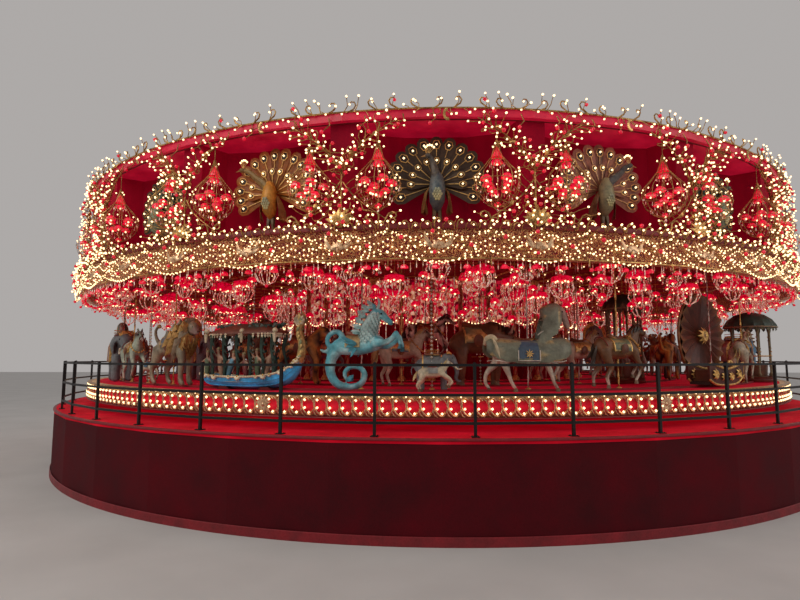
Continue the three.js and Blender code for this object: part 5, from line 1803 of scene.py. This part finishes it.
def pony(bearded=False):
    # small and low, with short legs folded in a leap
    clay = Shape()
    limb(clay, "hide", 0.85, (-0.28, 0, 0.44, 0.09), (-0.18, 0, 0.47, 0.115), (0.04, 0, 0.46, 0.11),
         (0.2, 0, 0.5, 0.1))
    limb(clay, "hide", 0.75, (0.16, 0, 0.5, 0.095), (0.26, 0, 0.6, 0.07), (0.32, 0, 0.68, 0.055))
    limb(clay, "hide", 0.78, (0.31, 0, 0.69, 0.052), (0.4, 0, 0.64, 0.042), (0.46, 0, 0.61, 0.032))
    for side, reach in ((-1, 0.05), (1, 0.0)):
        limb(clay, "hide", 0.9, (0.2, side * 0.06, 0.44, 0.06), (0.3 + reach, side * 0.07, 0.34, 0.04),
             (0.36 + reach, side * 0.07, 0.26, 0.026), (0.3 + reach, side * 0.07, 0.2, 0.024), sides=8)
        limb(clay, "hide", 0.9, (-0.22, side * 0.06, 0.42, 0.08), (-0.22 - reach, side * 0.07, 0.3, 0.05),
             (-0.3 - reach, side * 0.07, 0.2, 0.028), (-0.26 - reach, side * 0.07, 0.12, 0.024), sides=8)
    made = fused(clay, 0.014, 1300)
    for side, reach in ((-1, 0.05), (1, 0.0)):
        hoof(made, (0.29 + reach, side * 0.07, 0.19), 0, 0.03)
        hoof(made, (-0.25 - reach, side * 0.07, 0.11), 0, 0.03)
    faceOf(made, (0.37, 0.038, 0.68), (0.475, 0.02, 0.62), 0.012)
    ears(made, (0.31, 0.02, 0.72), (0.31, 0.035, 0.78), 0.02)
    if bearded:
        for side in (-1, 1):
            made.tube(curveThrough([(0.31, side * 0.025, 0.72), (0.24, side * 0.05, 0.82),
                                    (0.13, side * 0.07, 0.8)], 3),
                      (0.016, 0.016, 0.014, 0.012, 0.01, 0.008, 0.004), 5, "hoof", blunt=False)
        locks(made, "mane", [(0.44, 0, 0.6)], (0.02, 0, -0.12), 0.02, 1)
    else:
        for side in (-1, 1):
            locks(made, "mane", [(0.3 - 0.035 * k, side * 0.01, 0.74 - 0.045 * k) for k in range(5)],
                  (-0.07, side * 0.05, -0.09), 0.022, side, 0.01, 3)
    locks(made, "mane", [(-0.34, y, 0.5) for y in (-0.015, 0.0, 0.015)], (-0.1, 0, -0.22), 0.026, 1, 0.02, 4)
    blanket(made, "cloth", [(x, 0.46, 0.112) for x in (-0.1, 0.0, 0.1)], 1.6, hem=0.04)
    limb(made, "saddle", 1.1, (-0.1, 0, 0.6, 0.028), (0.0, 0, 0.575, 0.035), (0.08, 0, 0.6, 0.02), sides=6)
    return made


def boat():
    made = Shape()
    stations = ((-1.1, 0.04, 0.22, 0.3), (-1.0, 0.13, 0.1, 0.28), (-0.8, 0.22, 0.04, 0.25),
                (-0.3, 0.27, 0.02, 0.235), (0.3, 0.265, 0.02, 0.25), (0.66, 0.2, 0.06, 0.31),
                (0.88, 0.13, 0.16, 0.42), (1.0, 0.07, 0.3, 0.54), (1.06, 0.035, 0.42, 0.62))
    fine = curveThrough(stations, 3)
    rings = []
    for x, width, keel, top in fine:
        outer = [Vector((x, width * sin(a), top - (top - keel) * cos(a) ** 0.75)) for a in
                 (pi * (k / 8 - 0.5) * 0.995 for k in range(9))]
        inner = [Vector((x, point.y * 0.82, max(point.z + 0.05, top - 0.12))) for point in outer[::-1]]
        inner[0].z = inner[-1].z = top
        rings.append(outer + inner)
    made.rings(rings, "hull")
    for side in (-1, 1):
        edge = [Vector((x, side * width, top)) for x, width, _keel, top in fine]
        made.tube(edge, 0.02, 6, "cream", blunt=False)
        for low, thick in ((0.42, 0.008), (0.75, 0.01)):
            made.tube([Vector((x, side * (width * cos(low * 0.9) + 0.006), top - (top - keel) * low))
                       for x, width, keel, top in fine[1:-1]],
                      thick, 4, "hull", blunt=False)
        # shells in a row along the gunwale, larger at the stern
        count = 17
        for k in range(count):
            share = (k + 0.5) / count
            spot = edge[min(int((len(edge) - 1) * share), len(edge) - 1)]
            wide = 0.11 if k == 0 else 0.078 if k % 2 else 0.05
            for j in range(5):
                a = radians(-160 + 35 * j)
                tip = spot + Vector((wide * cos(a), side * 0.022, wide * sin(a)))
                made.leaf([spot + Vector((0, side * 0.02, 0.02)),
                           spot.lerp(tip, 0.6) + Vector((0, side * 0.03, 0)), tip], wide * 0.26,
                           (0, side, 0.2), "cream")
            made.ball(spot + Vector((0, side * 0.03, 0.012)), (0.02, 0.014, 0.02), 5, 3, "trim")
    prow = curveThrough([(1.0, 0, 0.5, 0.07), (1.06, 0, 0.66, 0.075), (1.06, 0, 0.84, 0.065),
                         (1.0, 0, 1.0, 0.055), (1.01, 0, 1.13, 0.05), (1.06, 0, 1.24, 0.045),
                         (1.02, 0, 1.32, 0.03)], 3)
    made.tube([spot.to_3d() for spot in prow], [spot[3] for spot in prow], 8, "gold")
    made.ball((1.03, 0, 1.24), (0.085, 0.07, 0.085), 9, 6, "cream")
    for k in range(12):
        spot = prow[min(2 + (3 * k) // 2, len(prow) - 1)].to_3d()
        for side in (-1, 1):
            made.leaf([spot + Vector((0, side * 0.05, 0.06)), spot + Vector((0.03, side * 0.085, 0.01)),
                       spot + Vector((-0.01, side * 0.07, -0.07))], 0.03, (0, side, 0.3),
                      "gold" if k % 3 else "leafy")
    rosette(made, "cream", (1.03, 0, 1.24), 9, 0.035, (0.07, 0.08), (0.12, 0.06))
    limb(made, "cream", 1.0, (-1.04, 0, 0.3, 0.05), (-1.1, 0, 0.38, 0.05), (-1.07, 0, 0.46, 0.04),
         (-1.0, 0, 0.42, 0.025), sides=8)
    # trunks carry a flat-pitched canopy with a fringe of shells, the posts of a boat house
    for x in (-0.78, -0.5, -0.2, 0.08, 0.36, 0.58):
        for side in (-1, 1):
            made.tube(curveThrough([(x, side * 0.17, 0.2), (x + 0.03, side * 0.2, 0.46),
                                    (x - 0.03, side * 0.18, 0.74), (x + 0.02, side * 0.21, 1.0)], 3),
                      (0.032, 0.028, 0.026, 0.028, 0.026, 0.03, 0.032, 0.036, 0.044, 0.055), 6, "bark",
                      blunt=False)
            for k in range(5):
                z = 0.4 + 0.13 * k
                made.leaf([(x, side * 0.2, z), (x + 0.05, side * 0.24, z + 0.05),
                           (x + 0.09, side * 0.22, z - 0.01)], 0.03, (0.2, side, 0.3), "bark")
    rings = []
    for z, long, wide in ((0.99, 0.78, 0.25), (1.01, 0.81, 0.275), (1.06, 0.78, 0.26), (1.14, 0.5, 0.15),
                          (1.2, 0.2, 0.06)):
        rings.append([Vector((-0.1, 0, z)) + Vector((*oblong(long, wide, a), 0)) for a in angles(24, 0.5)])
    made.rings(rings, "canopy")
    for a in angles(52):
        x, y = oblong(0.8, 0.272, a)
        x -= 0.1
        made.ball((x, y, 1.0), (0.03, 0.022, 0.02), 5, 3, "cream")
        made.leaf([(x, y, 1.0), (x * 1.005, y * 1.03, 0.96), (x * 1.005, y * 1.02, 0.93)], 0.022,
                  (cos(a), sin(a) + 0.01, 0), "cream")
    for x in (-0.88, -0.06, 0.66):
        made.ball((x, -0.24, 1.06), (0.05, 0.05, 0.05), 8, 5, "cream")
        limb(made, "cream", 1.0, (x, -0.26, 1.0, 0.035), (x + 0.02, -0.28, 0.86, 0.02), sides=6)
    dice = random.Random(3)
    for k in range(54):
        spot = Vector((dice.uniform(-0.8, 0.6), dice.uniform(-0.16, 0.16), 1.12))
        way = Vector((dice.uniform(-0.1, 0.1), dice.uniform(-0.06, 0.06), dice.uniform(0.04, 0.12)))
        made.leaf([spot, spot + way * 0.6, spot + way + Vector((0.05, 0, -0.03))], 0.04, (0.3, -1, 0.2),
                  "bark")
    # small carved children stand between the trunks
    for k, x in enumerate((-0.92, -0.64, -0.34, -0.06, 0.22, 0.5)):
        child = Shape()
        coat = ("tunic", "skin", "dress", "wine")[k % 4]
        side, lean, low = -0.15, 0.07 * sin(2.3 * k), 0.05 * sin(1.7 * k)
        limb(child, coat, 0.8, (x + 1.4 * lean, side, 0.2, 0.04), (x + 0.6 * lean, side, 0.4 + low, 0.06),
             (x, side, 0.56 + low, 0.048), sides=8)
        limb(child, "skin", 1.0, (x - 0.3 * lean, side, 0.6 + low, 0.024),
             (x - 0.5 * lean, side, 0.67 + low, 0.042), sides=8)
        for hand in (-1, 1):
            up = 0.26 if (k + hand) % 3 == 0 else -0.14
            limb(child, "skin", 1.0, (x + 0.05 * hand, side, 0.55 + low, 0.024),
                 (x + 0.13 * hand, side - 0.03, 0.54 + low + 0.5 * up, 0.019),
                 (x + 0.12 * hand, side - 0.05, 0.55 + low + up, 0.017), sides=6)
        made.take(fused(child, 0.014, 420))
        made.ball((x - 0.5 * lean, side + 0.01, 0.69 + low), (0.045, 0.045, 0.04), 7, 5, "curls")
    for x in (-0.5, 0.42):
        made.rings([[Vector((x + dx, y, z))
                     for dx, y in ((-0.1 * w, -0.2), (0.1 * w, -0.2), (0.1 * w, 0.2), (-0.1 * w, 0.2))]
                    for z, w in ((0.002, 1.5), (0.06, 0.7))], "cradle")
    return made


def pavilion(foot, top, wide, base):
    # a ribbed dome from foot to top, on slim columns over a round base with a seat
    made, ribs = Shape(), 16
    rings = []
    for r, z in ((0.9, -0.05), (1.0, 0.0), (0.97, 0.16), (0.82, 0.5), (0.55, 0.8), (0.25, 0.95), (0.04, 1.0)):
        rings.append([onCircle(r * wide * (1.0 + (0.03 if k % 2 else -0.045)), a, foot + (top - foot) * z)
                      for k, a in enumerate(angles(2 * ribs))])
    made.rings(rings, "dome")
    loop(made, "edge", (0, 0, foot + 0.005), (wide, wide), 0, 0.02, 5, 32)
    made.turned([(0.03, top - 0.01), (0.045, top + 0.02), (0.02, top + 0.05), (0.004, top + 0.08)], 8,
                (0, 0, 0), "trim")
    for a in angles(24):
        made.leaf([onCircle(wide * 0.95, a, foot), onCircle(wide * 0.97, a, foot - 0.04),
                   onCircle(wide * 0.95, a, foot - 0.09)],
                  0.045, onCircle(1, a), "fringe")
    made.turned([(base, 0.02), (base + 0.01, 0.06), (base - 0.02, 0.09), (base - 0.01, 0.13),
                 (base - 0.07, 0.16)], 24, (0, 0, 0), "base")
    made.turned([(base * 0.64, 0.16), (base * 0.68, 0.4), (base * 0.6, 0.44)], 16, (0, 0, 0), "saddle")
    for a in angles(8, 0.5):
        spot = onCircle(base - 0.06, a)
        made.turned([(0.035, 0.15), (0.045, 0.19), (0.024, 0.24), (0.026, foot - 0.14), (0.042, foot - 0.08),
                     (0.048, foot)], 8, spot, "column")
        for row in range(int((foot - 0.45) / 0.085)):
            b = row * 0.9
            made.ball(spot + onCircle(0.028, b, 0.3 + 0.085 * row), 0.016, 5, 3, "trim")
    loop(made, "trim", (0, 0, 0.62), (base - 0.06, base - 0.06), 0, 0.014, 5, 24)
    return made


def chariot():
    made = Shape()
    # the round shell that backs the seat, its ribs fanning out from a boss to a scalloped edge
    ribs, middle, size = 22, 1.02, 0.84
    shares = (0.1, 0.2, 0.45, 0.7, 0.9, 1.0)
    for y0, lift, flip, coat in ((0.2, 0.035, 1, "shell"), (0.25, 0.0, -1, "dark")):
        points, faces, coats = [], [], []
        for k, a in enumerate(angles(2 * ribs)):
            for j, share in enumerate(shares):
                bulge = lift * (0.3 + share) * (1 if k % 2 else -0.5)
                reach = size * share * (1.0 + (0.02 if k % 2 else -0.03) * (j > 3))
                points.append((reach * cos(a), y0 - bulge - 0.05 * share ** 2, middle + reach * sin(a)))
                coats.append("shellEdge" if share > 0.95 or share < 0.15 else coat)
        for k in range(2 * ribs):
            for j in range(len(shares) - 1):
                n = (k + 1) % (2 * ribs)
                face = [k * len(shares) + j, n * len(shares) + j, n * len(shares) + j + 1,
                        k * len(shares) + j + 1]
                faces.append(face[::flip])
        made.add(points, faces, coats)
    made.tube([(size * cos(tau * k / 44), 0.19, middle + size * sin(tau * k / 44)) for k in range(45)], 0.03,
              6, "shellEdge", blunt=False)
    made.ball((0, 0.16, middle), (0.12, 0.08, 0.12), 12, 6, "shellEdge")
    rosette(made, "trim", (0, 0.1, middle), 10, 0.04, (0.1, 0.02), (0.19, -0.04))
    # the car: a scrolled side, a floor and a seat
    car = curveThrough(((-0.68, 0.16, 0.46), (-0.45, 0.07, 0.44), (0.0, 0.05, 0.36), (0.42, 0.08, 0.42),
                        (0.7, 0.24, 0.48)), 3)
    for y in (-0.27, 0.14):
        rings = [[Vector((x, y - 0.02, low)), Vector((x, y + 0.02, low)), Vector((x, y + 0.02, high)),
                  Vector((x, y - 0.02, high))]
                 for x, low, high in car]
        made.rings(rings, "shell")
        for pick in (1, 2):
            made.tube([(spot[0], y - 0.02, spot[pick]) for spot in car], 0.022, 6, "trim")
        for x, z, r in ((-0.48, 0.26, 0.12), (-0.16, 0.21, 0.1), (0.14, 0.21, 0.1), (0.46, 0.26, 0.12)):
            rosette(made, "trim", (x, y - 0.03, z), 8, 0.03, (r * 0.6, 0.03), (r, 0.0))
    slab(made, "dark", -0.62, 0.6, -0.26, 0.13, 0.06, 0.12)
    slab(made, "saddle", -0.5, 0.3, -0.22, 0.12, 0.12, 0.3, 0.34)
    limb(made, "trim", 1.0, (0.66, -0.04, 0.2, 0.045), (0.76, -0.04, 0.34, 0.045), (0.74, -0.04, 0.48, 0.04),
         (0.64, -0.04, 0.5, 0.03), (0.62, -0.04, 0.43, 0.02), sides=8)
    return made


def ponyPair():
    # a small pony in front of a young elephant, one on each side of their pole
    made = Shape().take(recoat(pony(), {"hide": "ponyHide", "mane": "ponyMane", "cloth": "ponyCloth"}),
                        Matrix.Translation((0.02, -0.11, -0.04)) @ Matrix.Scale(0.78, 4))
    return made.take(recoat(elephant(), {"cloth": "elephantCloth"}),
                     Matrix.Translation((0.02, 0.14, 0.0)) @ Matrix.Scale(0.56, 4))


def recoat(shape, names):
    shape.coats = [names.get(coat, coat) for coat in shape.coats]
    return shape


def buffalo():
    clay = Shape()
    limb(clay, "hide", 0.85, (-0.46, 0, 0.7, 0.16), (-0.3, 0, 0.78, 0.22), (-0.02, 0, 0.8, 0.24),
         (0.22, 0, 0.88, 0.28), (0.38, 0, 0.86, 0.2))
    limb(clay, "hide", 0.8, (0.36, 0, 0.86, 0.19), (0.5, 0, 0.82, 0.16), (0.62, 0, 0.72, 0.11),
         (0.68, 0, 0.64, 0.085))
    for side in (-1, 1):
        for x in (-0.36, 0.26):
            limb(clay, "hide", 0.9, (x, side * 0.12, 0.64, 0.12), (x + 0.02, side * 0.13, 0.36, 0.07),
                 (x, side * 0.13, 0.1, 0.05))
    made = fused(clay, 0.024, 1600)
    for side in (-1, 1):
        made.tube(curveThrough([(0.5, side * 0.1, 0.94), (0.5, side * 0.24, 0.95),
                                (0.54, side * 0.26, 1.08)], 3),
                  (0.04, 0.036, 0.032, 0.026, 0.02, 0.014, 0.007), 6, "tusk")
        for x in (-0.36, 0.26):
            hoof(made, (x, side * 0.13, 0.08), 0, 0.055)
    faceOf(made, (0.58, 0.1, 0.84), (0.72, 0.04, 0.64))
    for row in range(3):
        locks(made, "mane", [(0.16 + 0.09 * k, 0.06 * (row - 1), 1.12 - 0.03 * k) for k in range(5)],
              (0.05, 0.14 * (row - 1), -0.1), 0.06, 1)
    saddleOn(made, -0.1, 0.8, 0.235)
    return made


models = {"horse": horse("leap"), "walker": horse("stand"), "draped": drapedHorse(), "seaHorse": seaHorse(),
          "elephant": elephant(), "tiger": bigCat(), "lion": bigCat(True), "goat": pony(True),
          "pair": ponyPair(), "boat": boat(), "pavilion": pavilion(1.3, 1.68, 0.56, 0.47),
          "kiosk": pavilion(1.66, 2.02, 0.47, 0.42), "chariot": chariot(), "buffalo": buffalo()}
scales = {"horse": 0.9, "walker": 0.9, "tiger": 1.04, "lion": 1.1, "goat": 0.84, "buffalo": 1.15}
print("figures modelled")

# paints: a colour for each coat, the last number being how far it is gilded
basePaint = {
    "hide": (0.5, 0.45, 0.36, 0.0), "muzzle": (0.42, 0.28, 0.24, 0.0), "sock": (0.55, 0.5, 0.4, 0.0),
    "mane": (0.3, 0.24, 0.14, 0.2), "hoof": (0.1, 0.07, 0.05, 0.1), "eye": (0.01, 0.01, 0.012, 0.0),
    "dark": (0.03, 0.02, 0.015, 0.0), "cloth": (0.25, 0.02, 0.02, 0.0), "saddle": (0.16, 0.05, 0.02, 0.0),
    "strap": (0.2, 0.03, 0.02, 0.0), "trim": (0.6, 0.42, 0.16, 0.8), "scale": (0.5, 0.5, 0.42, 0.35),
    "fin": (0.1, 0.4, 0.42, 0.0), "tusk": (0.65, 0.58, 0.42, 0.0), "drape": (0.2, 0.21, 0.15, 0.0),
    "piping": (0.7, 0.66, 0.55, 0.0), "hull": (0.07, 0.46, 0.85, 0.0), "cream": (0.7, 0.63, 0.46, 0.15),
    "leafy": (0.2, 0.27, 0.14, 0.1), "bark": (0.03, 0.06, 0.045, 0.0), "canopy": (0.17, 0.05, 0.03, 0.0),
    "curls": (0.2, 0.15, 0.08, 0.1), "cradle": (0.12, 0.01, 0.01, 0.0), "dome": (0.035, 0.075, 0.06, 0.0),
    "fringe": (0.06, 0.09, 0.07, 0.1), "base": (0.14, 0.03, 0.02, 0.0), "column": (0.1, 0.1, 0.07, 0.15),
    "shell": (0.1, 0.02, 0.01, 0.0), "pole": (0.6, 0.42, 0.18, 0.9), "stripe": (0.45, 0.01, 0.02, 0.0),
    "bead": (0.7, 0.66, 0.58, 0.1), "square": (0.07, 0.11, 0.16, 0.0), "gold": (0.5, 0.36, 0.16, 0.45),
    "skin": (0.42, 0.22, 0.14, 0.0), "tunic": (0.1, 0.13, 0.07, 0.0), "wine": (0.2, 0.03, 0.03, 0.0),
    "dress": (0.12, 0.25, 0.33, 0.0), "edge": (0.2, 0.2, 0.17, 0.2), "shellEdge": (0.2, 0.06, 0.02, 0.1),
    "ponyHide": (0.62, 0.55, 0.38, 0.0), "ponyMane": (0.5, 0.4, 0.2, 0.2),
    "ponyCloth": (0.3, 0.3, 0.28, 0.0), "elephantCloth": (0.16, 0.17, 0.17, 0.0),
}
paints = {
    "cream": {"hide": (0.52, 0.47, 0.34, 0.0), "mane": (0.36, 0.26, 0.12, 0.3),
              "cloth": (0.04, 0.12, 0.2, 0.0)},
    "grey": {"hide": (0.2, 0.22, 0.22, 0.0), "mane": (0.42, 0.4, 0.33, 0.1), "cloth": (0.3, 0.02, 0.03, 0.0)},
    "green": {"hide": (0.4, 0.46, 0.36, 0.0), "mane": (0.18, 0.1, 0.05, 0.0),
              "cloth": (0.3, 0.12, 0.05, 0.3)},
    "yellow": {"hide": (0.55, 0.42, 0.17, 0.0), "mane": (0.6, 0.5, 0.3, 0.1),
               "cloth": (0.3, 0.03, 0.02, 0.0)},
    "brown": {"hide": (0.17, 0.08, 0.035, 0.0), "mane": (0.05, 0.03, 0.02, 0.0),
              "cloth": (0.12, 0.16, 0.1, 0.0)},
    "black": {"hide": (0.05, 0.045, 0.04, 0.0), "mane": (0.09, 0.07, 0.05, 0.1),
              "cloth": (0.35, 0.05, 0.03, 0.2)},
    "tiger": {"hide": (0.5, 0.25, 0.05, 0.0), "mane": (0.1, 0.06, 0.03, 0.0),
              "cloth": (0.3, 0.02, 0.03, 0.0)},
    "lion": {"hide": (0.33, 0.27, 0.18, 0.0), "mane": (0.42, 0.22, 0.07, 0.3),
             "cloth": (0.1, 0.14, 0.2, 0.0)},
    "elephant": {"hide": (0.17, 0.19, 0.2, 0.0), "cloth": (0.26, 0.03, 0.03, 0.0),
                 "saddle": (0.2, 0.05, 0.03, 0.0)},
    "sea": {"hide": (0.11, 0.42, 0.5, 0.0), "mane": (0.25, 0.5, 0.52, 0.1), "hoof": (0.03, 0.15, 0.2, 0.0),
            "scale": (0.5, 0.72, 0.7, 0.0), "fin": (0.06, 0.3, 0.38, 0.0),
            "cloth": (0.3, 0.26, 0.16, 0.3), "saddle": (0.3, 0.06, 0.03, 0.0)},
    "deep": {"hide": (0.04, 0.16, 0.3, 0.0), "mane": (0.3, 0.3, 0.26, 0.3), "cloth": (0.3, 0.2, 0.08, 0.3)},
    "zebra": {"hide": (0.85, 0.8, 0.68, 0.0), "mane": (0.04, 0.035, 0.03, 0.0),
              "sock": (0.12, 0.1, 0.09, 0.0), "cloth": (0.4, 0.02, 0.02, 0.0)},
    "olive": {"hide": (0.5, 0.44, 0.32, 0.0), "mane": (0.55, 0.48, 0.32, 0.1),
              "cloth": (0.13, 0.17, 0.21, 0.0), "sock": (0.6, 0.54, 0.42, 0.0),
              "muzzle": (0.4, 0.25, 0.2, 0.0)},
    "plain": {},
}
striped = {"tiger": (26.0, 0.25), "zebra": (31.0, 0.3)}


def painted(shape, paint, seed=0.0):
    # lays a paint on the coats, cloudy on hides, with stripes where the paint has them
    colours = {**basePaint, **paints[paint]}
    coats = []
    for point, coat in zip(shape.points, shape.coats):
        red, green, blue, gilded = colours[coat]
        spot = Vector(point) + Vector((seed, 0, 0))
        share = 1.0 + 0.5 * noise.noise(spot * 5.0) + 0.3 * noise.noise(spot * 17.0)
        if coat == "hide" and paint in striped:
            pitch, bias = striped[paint]
            if sin(pitch * (point[0] + 0.35 * point[2] + 0.09 * noise.noise(spot * 6.0))) > bias:
                red, green, blue = 0.03, 0.02, 0.015
        if coat in ("hide", "sock") and paint in ("sea", "deep"):
            cool = max(0.0, noise.noise(spot * 8.0) + 0.1)
            red, green, blue = red + 0.5 * cool, green + 0.5 * cool, blue + 0.4 * cool
        if coat in ("cloth", "drape", "saddle"):
            gilded = max(gilded, 0.5 if sin(38 * point[0]) * sin(38 * point[2]) > 0.72 else 0.0)
        coats.append((red * share, green * share, blue * share, gilded))
    return Shape().add(shape.points, shape.faces, coats)


def twistedPole(high, radius, kind, turns=9):
    # two strands wound on each other in brass, or in red and white, or a wire threaded with white beads
    made = Shape()
    sides, rows = (3, 1) if kind == "beads" else (6, 22)
    rings = []
    for row in range(rows + 1):
        lay = turns * pi * row / rows
        rings.append([onCircle(radius * (1 + 0.3 * cos(2 * a)), a + lay, high * row / rows)
                      for a in angles(sides)])
    made.rings(rings, "pole", closed=False)
    if kind == "candy":
        made.coats = ["stripe" if i % sides in (0, 3, 4) else "bead" for i in range(len(made.coats))]
    if kind == "beads":
        for k in range(int(high / 0.068)):
            made.spun([(0.0, -0.024), (0.026, 0.0), (0.0, 0.024)], 4, (0, 0, 0.04 + 0.068 * k), "bead")
    return made


poles = {kind: twistedPole(ceilingUnder - deckTop, radius, kind)
         for kind, radius in (("brass", 0.015), ("candy", 0.016), ("beads", 0.012))}
for kind, shape in poles.items():
    shape.spun([(0.05, 0.04), (0.05, 0.052), (0.0, 0.075)], 7, (0, 0, 0), "pole")
    shape.spun([(0.0, -0.06), (0.06, -0.015), (0.06, -0.002)], 7, (0, 0, ceilingUnder - deckTop), "pole")

rowsOf = {"outer": 9.15, "middle": 7.35, "inner": 5.5}
halfRow = (("horse", "grey", -86), ("lion", "lion", -77), ("draped", "olive", -67.5),
           ("elephant", "elephant", -57.5), ("horse", "green", -48.5), ("goat", "cream", -41.8),
           ("lion", "lion", -35.3), ("boat", "plain", -21.6), ("seaHorse", "sea", -8.2),
           ("pair", "elephant", -0.6), ("draped", "olive", 9.8), ("horse", "brown", 20.8),
           ("chariot", "plain", 37.3), ("horse", "cream", 48.5), ("pavilion", "plain", 57.5),
           ("seaHorse", "deep", 67), ("elephant", "elephant", 77), ("goat", "cream", 86.5))
poleKinds = ("beads", "candy", "brass")
shares = {"outer": 0.66, "inner": 0.29, "zebra": 0.66}    # of a figure's faces that stay
kioskAzimuths = (36, 216)


def standAt(row, azimuth):
    return Matrix.Rotation(radians(azimuth), 4, "Z") @ Matrix.Translation((0, -rowsOf[row], deckTop))


def placeFigures():
    coatsSeen = {}

    def take(shape, kind, paint, row, azimuth, number, lift=0.0):
        share = shares[paint] if paint in shares else shares["outer" if row == "outer" else "inner"]
        key = (kind, paint, share)
        if key not in coatsSeen:
            light = lighter(models[kind], share)
            coatsSeen[key] = painted(light, paint, len(coatsSeen) * 1.7)
        place = standAt(row, azimuth)
        shape.take(coatsSeen[key],
                   place @ Matrix.Translation((0, 0, lift)) @ Matrix.Scale(scales.get(kind, 1.0), 4))
        shape.take(paintedPoles[poleKinds[number % 3]], place)

    paintedPoles = {kind: painted(shape, "plain") for kind, shape in poles.items()}
    for group in range(12):
        shape = Shape()
        for k in range(3):
            kind, paint, azimuth = halfRow[(3 * group + k) % 18]
            take(shape, kind, paint, "outer", azimuth + (180 if group > 5 else 0), group + k)
        piece(f"outerFigures{group + 1:02d}", shape, carved,
              replaces=[f"outer_figures_{group + 1:02d}"])
    for row, count, first, lift, kinds in (
        ("middle", 24, 7.3, 0.0,
         (("buffalo", "brown"), ("horse", "cream"), ("walker", "green"), ("tiger", "tiger"),
          ("walker", "grey"), ("lion", "lion"), ("horse", "black"), ("goat", "yellow"),
          ("elephant", "elephant"), ("horse", "brown"), ("tiger", "tiger"), ("walker", "cream"))),
        ("inner", 12, -1.5, 0.42,
         (("horse", "zebra"), ("walker", "cream"), ("elephant", "elephant"), ("horse", "green"),
          ("lion", "lion"), ("horse", "grey"))),
    ):
        shape = Shape()
        for i in range(count):
            kind, paint = kinds[i % len(kinds)]
            azimuth = first + i * 360 / count + (2.5 if i % 2 else 0.0)
            take(shape, kind, paint, row, azimuth, i, 0.0 if i % 2 else lift)
        if row == "middle":
            for azimuth in kioskAzimuths:
                take(shape, "kiosk", "plain", row, azimuth, 2)
        piece(row + "Figures", shape, carved, replaces=[row + "_figures"])
    for row, radius in rowsOf.items():
        lathed(row + "Track", (radius, deckTop),
               [(-0.045, 0.001), (0.045, 0.001), (0.045, 0.03), (0.035, 0.04),
                (-0.035, 0.04), (-0.045, 0.03)],
               darkRed, steps=120)


placeFigures()
print("figures placed")

# roof: hips, seams and laps over its boards, knobs at the eaves and a collar round the finial
roof = {"hip": 0.04, "seam": 0.014, "lap": 0.018, "laps": (0.16, 0.36, 0.58), "eaves": 0.05, "collar": 0.46,
        "tip": 0.3}


def dressRoof():
    low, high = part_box("roof")
    reach, foot = high.x - 0.02, low.z + roof["eaves"]

    def onRoof(share, turn):
        # share runs from the eaves to the collar, turn from one hip to the next
        radius = reach + (roof["collar"] - reach) * share
        height = foot + (high.z - foot) * (high.x - radius) / (high.x - roof["tip"])
        return polar(radius, -sectorTurn / 2, height).lerp(polar(radius, sectorTurn / 2, height), turn)

    battens, knobs = Shape(), Shape()
    battens.tube([onRoof(0, 0), onRoof(1, 0)], roof["hip"], 6, blunt=False)
    for turn in (1 / 4, 1 / 2, 3 / 4):
        battens.tube([onRoof(0, turn), onRoof(1, turn)], roof["seam"], 4, blunt=False)
    for share in roof["laps"]:
        battens.tube([onRoof(share, 0), onRoof(share, 1)], roof["lap"], 4, blunt=False)
    knobs.spun([(0.07, 0.0), (0.05, 0.04), (0.09, 0.11), (0.05, 0.18), (0.0, 0.23)], 8, onRoof(0.012, 0))
    turns = repeats(sectors, sectorTurn / 2)
    copies("roofBattens", battens, darkRed, slot="roof_red", **turns)
    copies("roofKnobs", knobs, gilt, **turns)
    lathed("roofCollar", (0.0, high.z),
           [(0.424, 0.005), (0.5, 0.02), (0.66, -0.03), (0.7, -0.06), (0.6, -0.05),
            (0.43, -0.02)], gilt, steps=60)


dressRoof()
print("roof dressed")

for other in ("scrollwork_1", "scrollwork_2", "scrollwork_3", "scrollwork_4"):
    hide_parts(other)
for spare in units:
    bpy.data.objects.remove(spare)
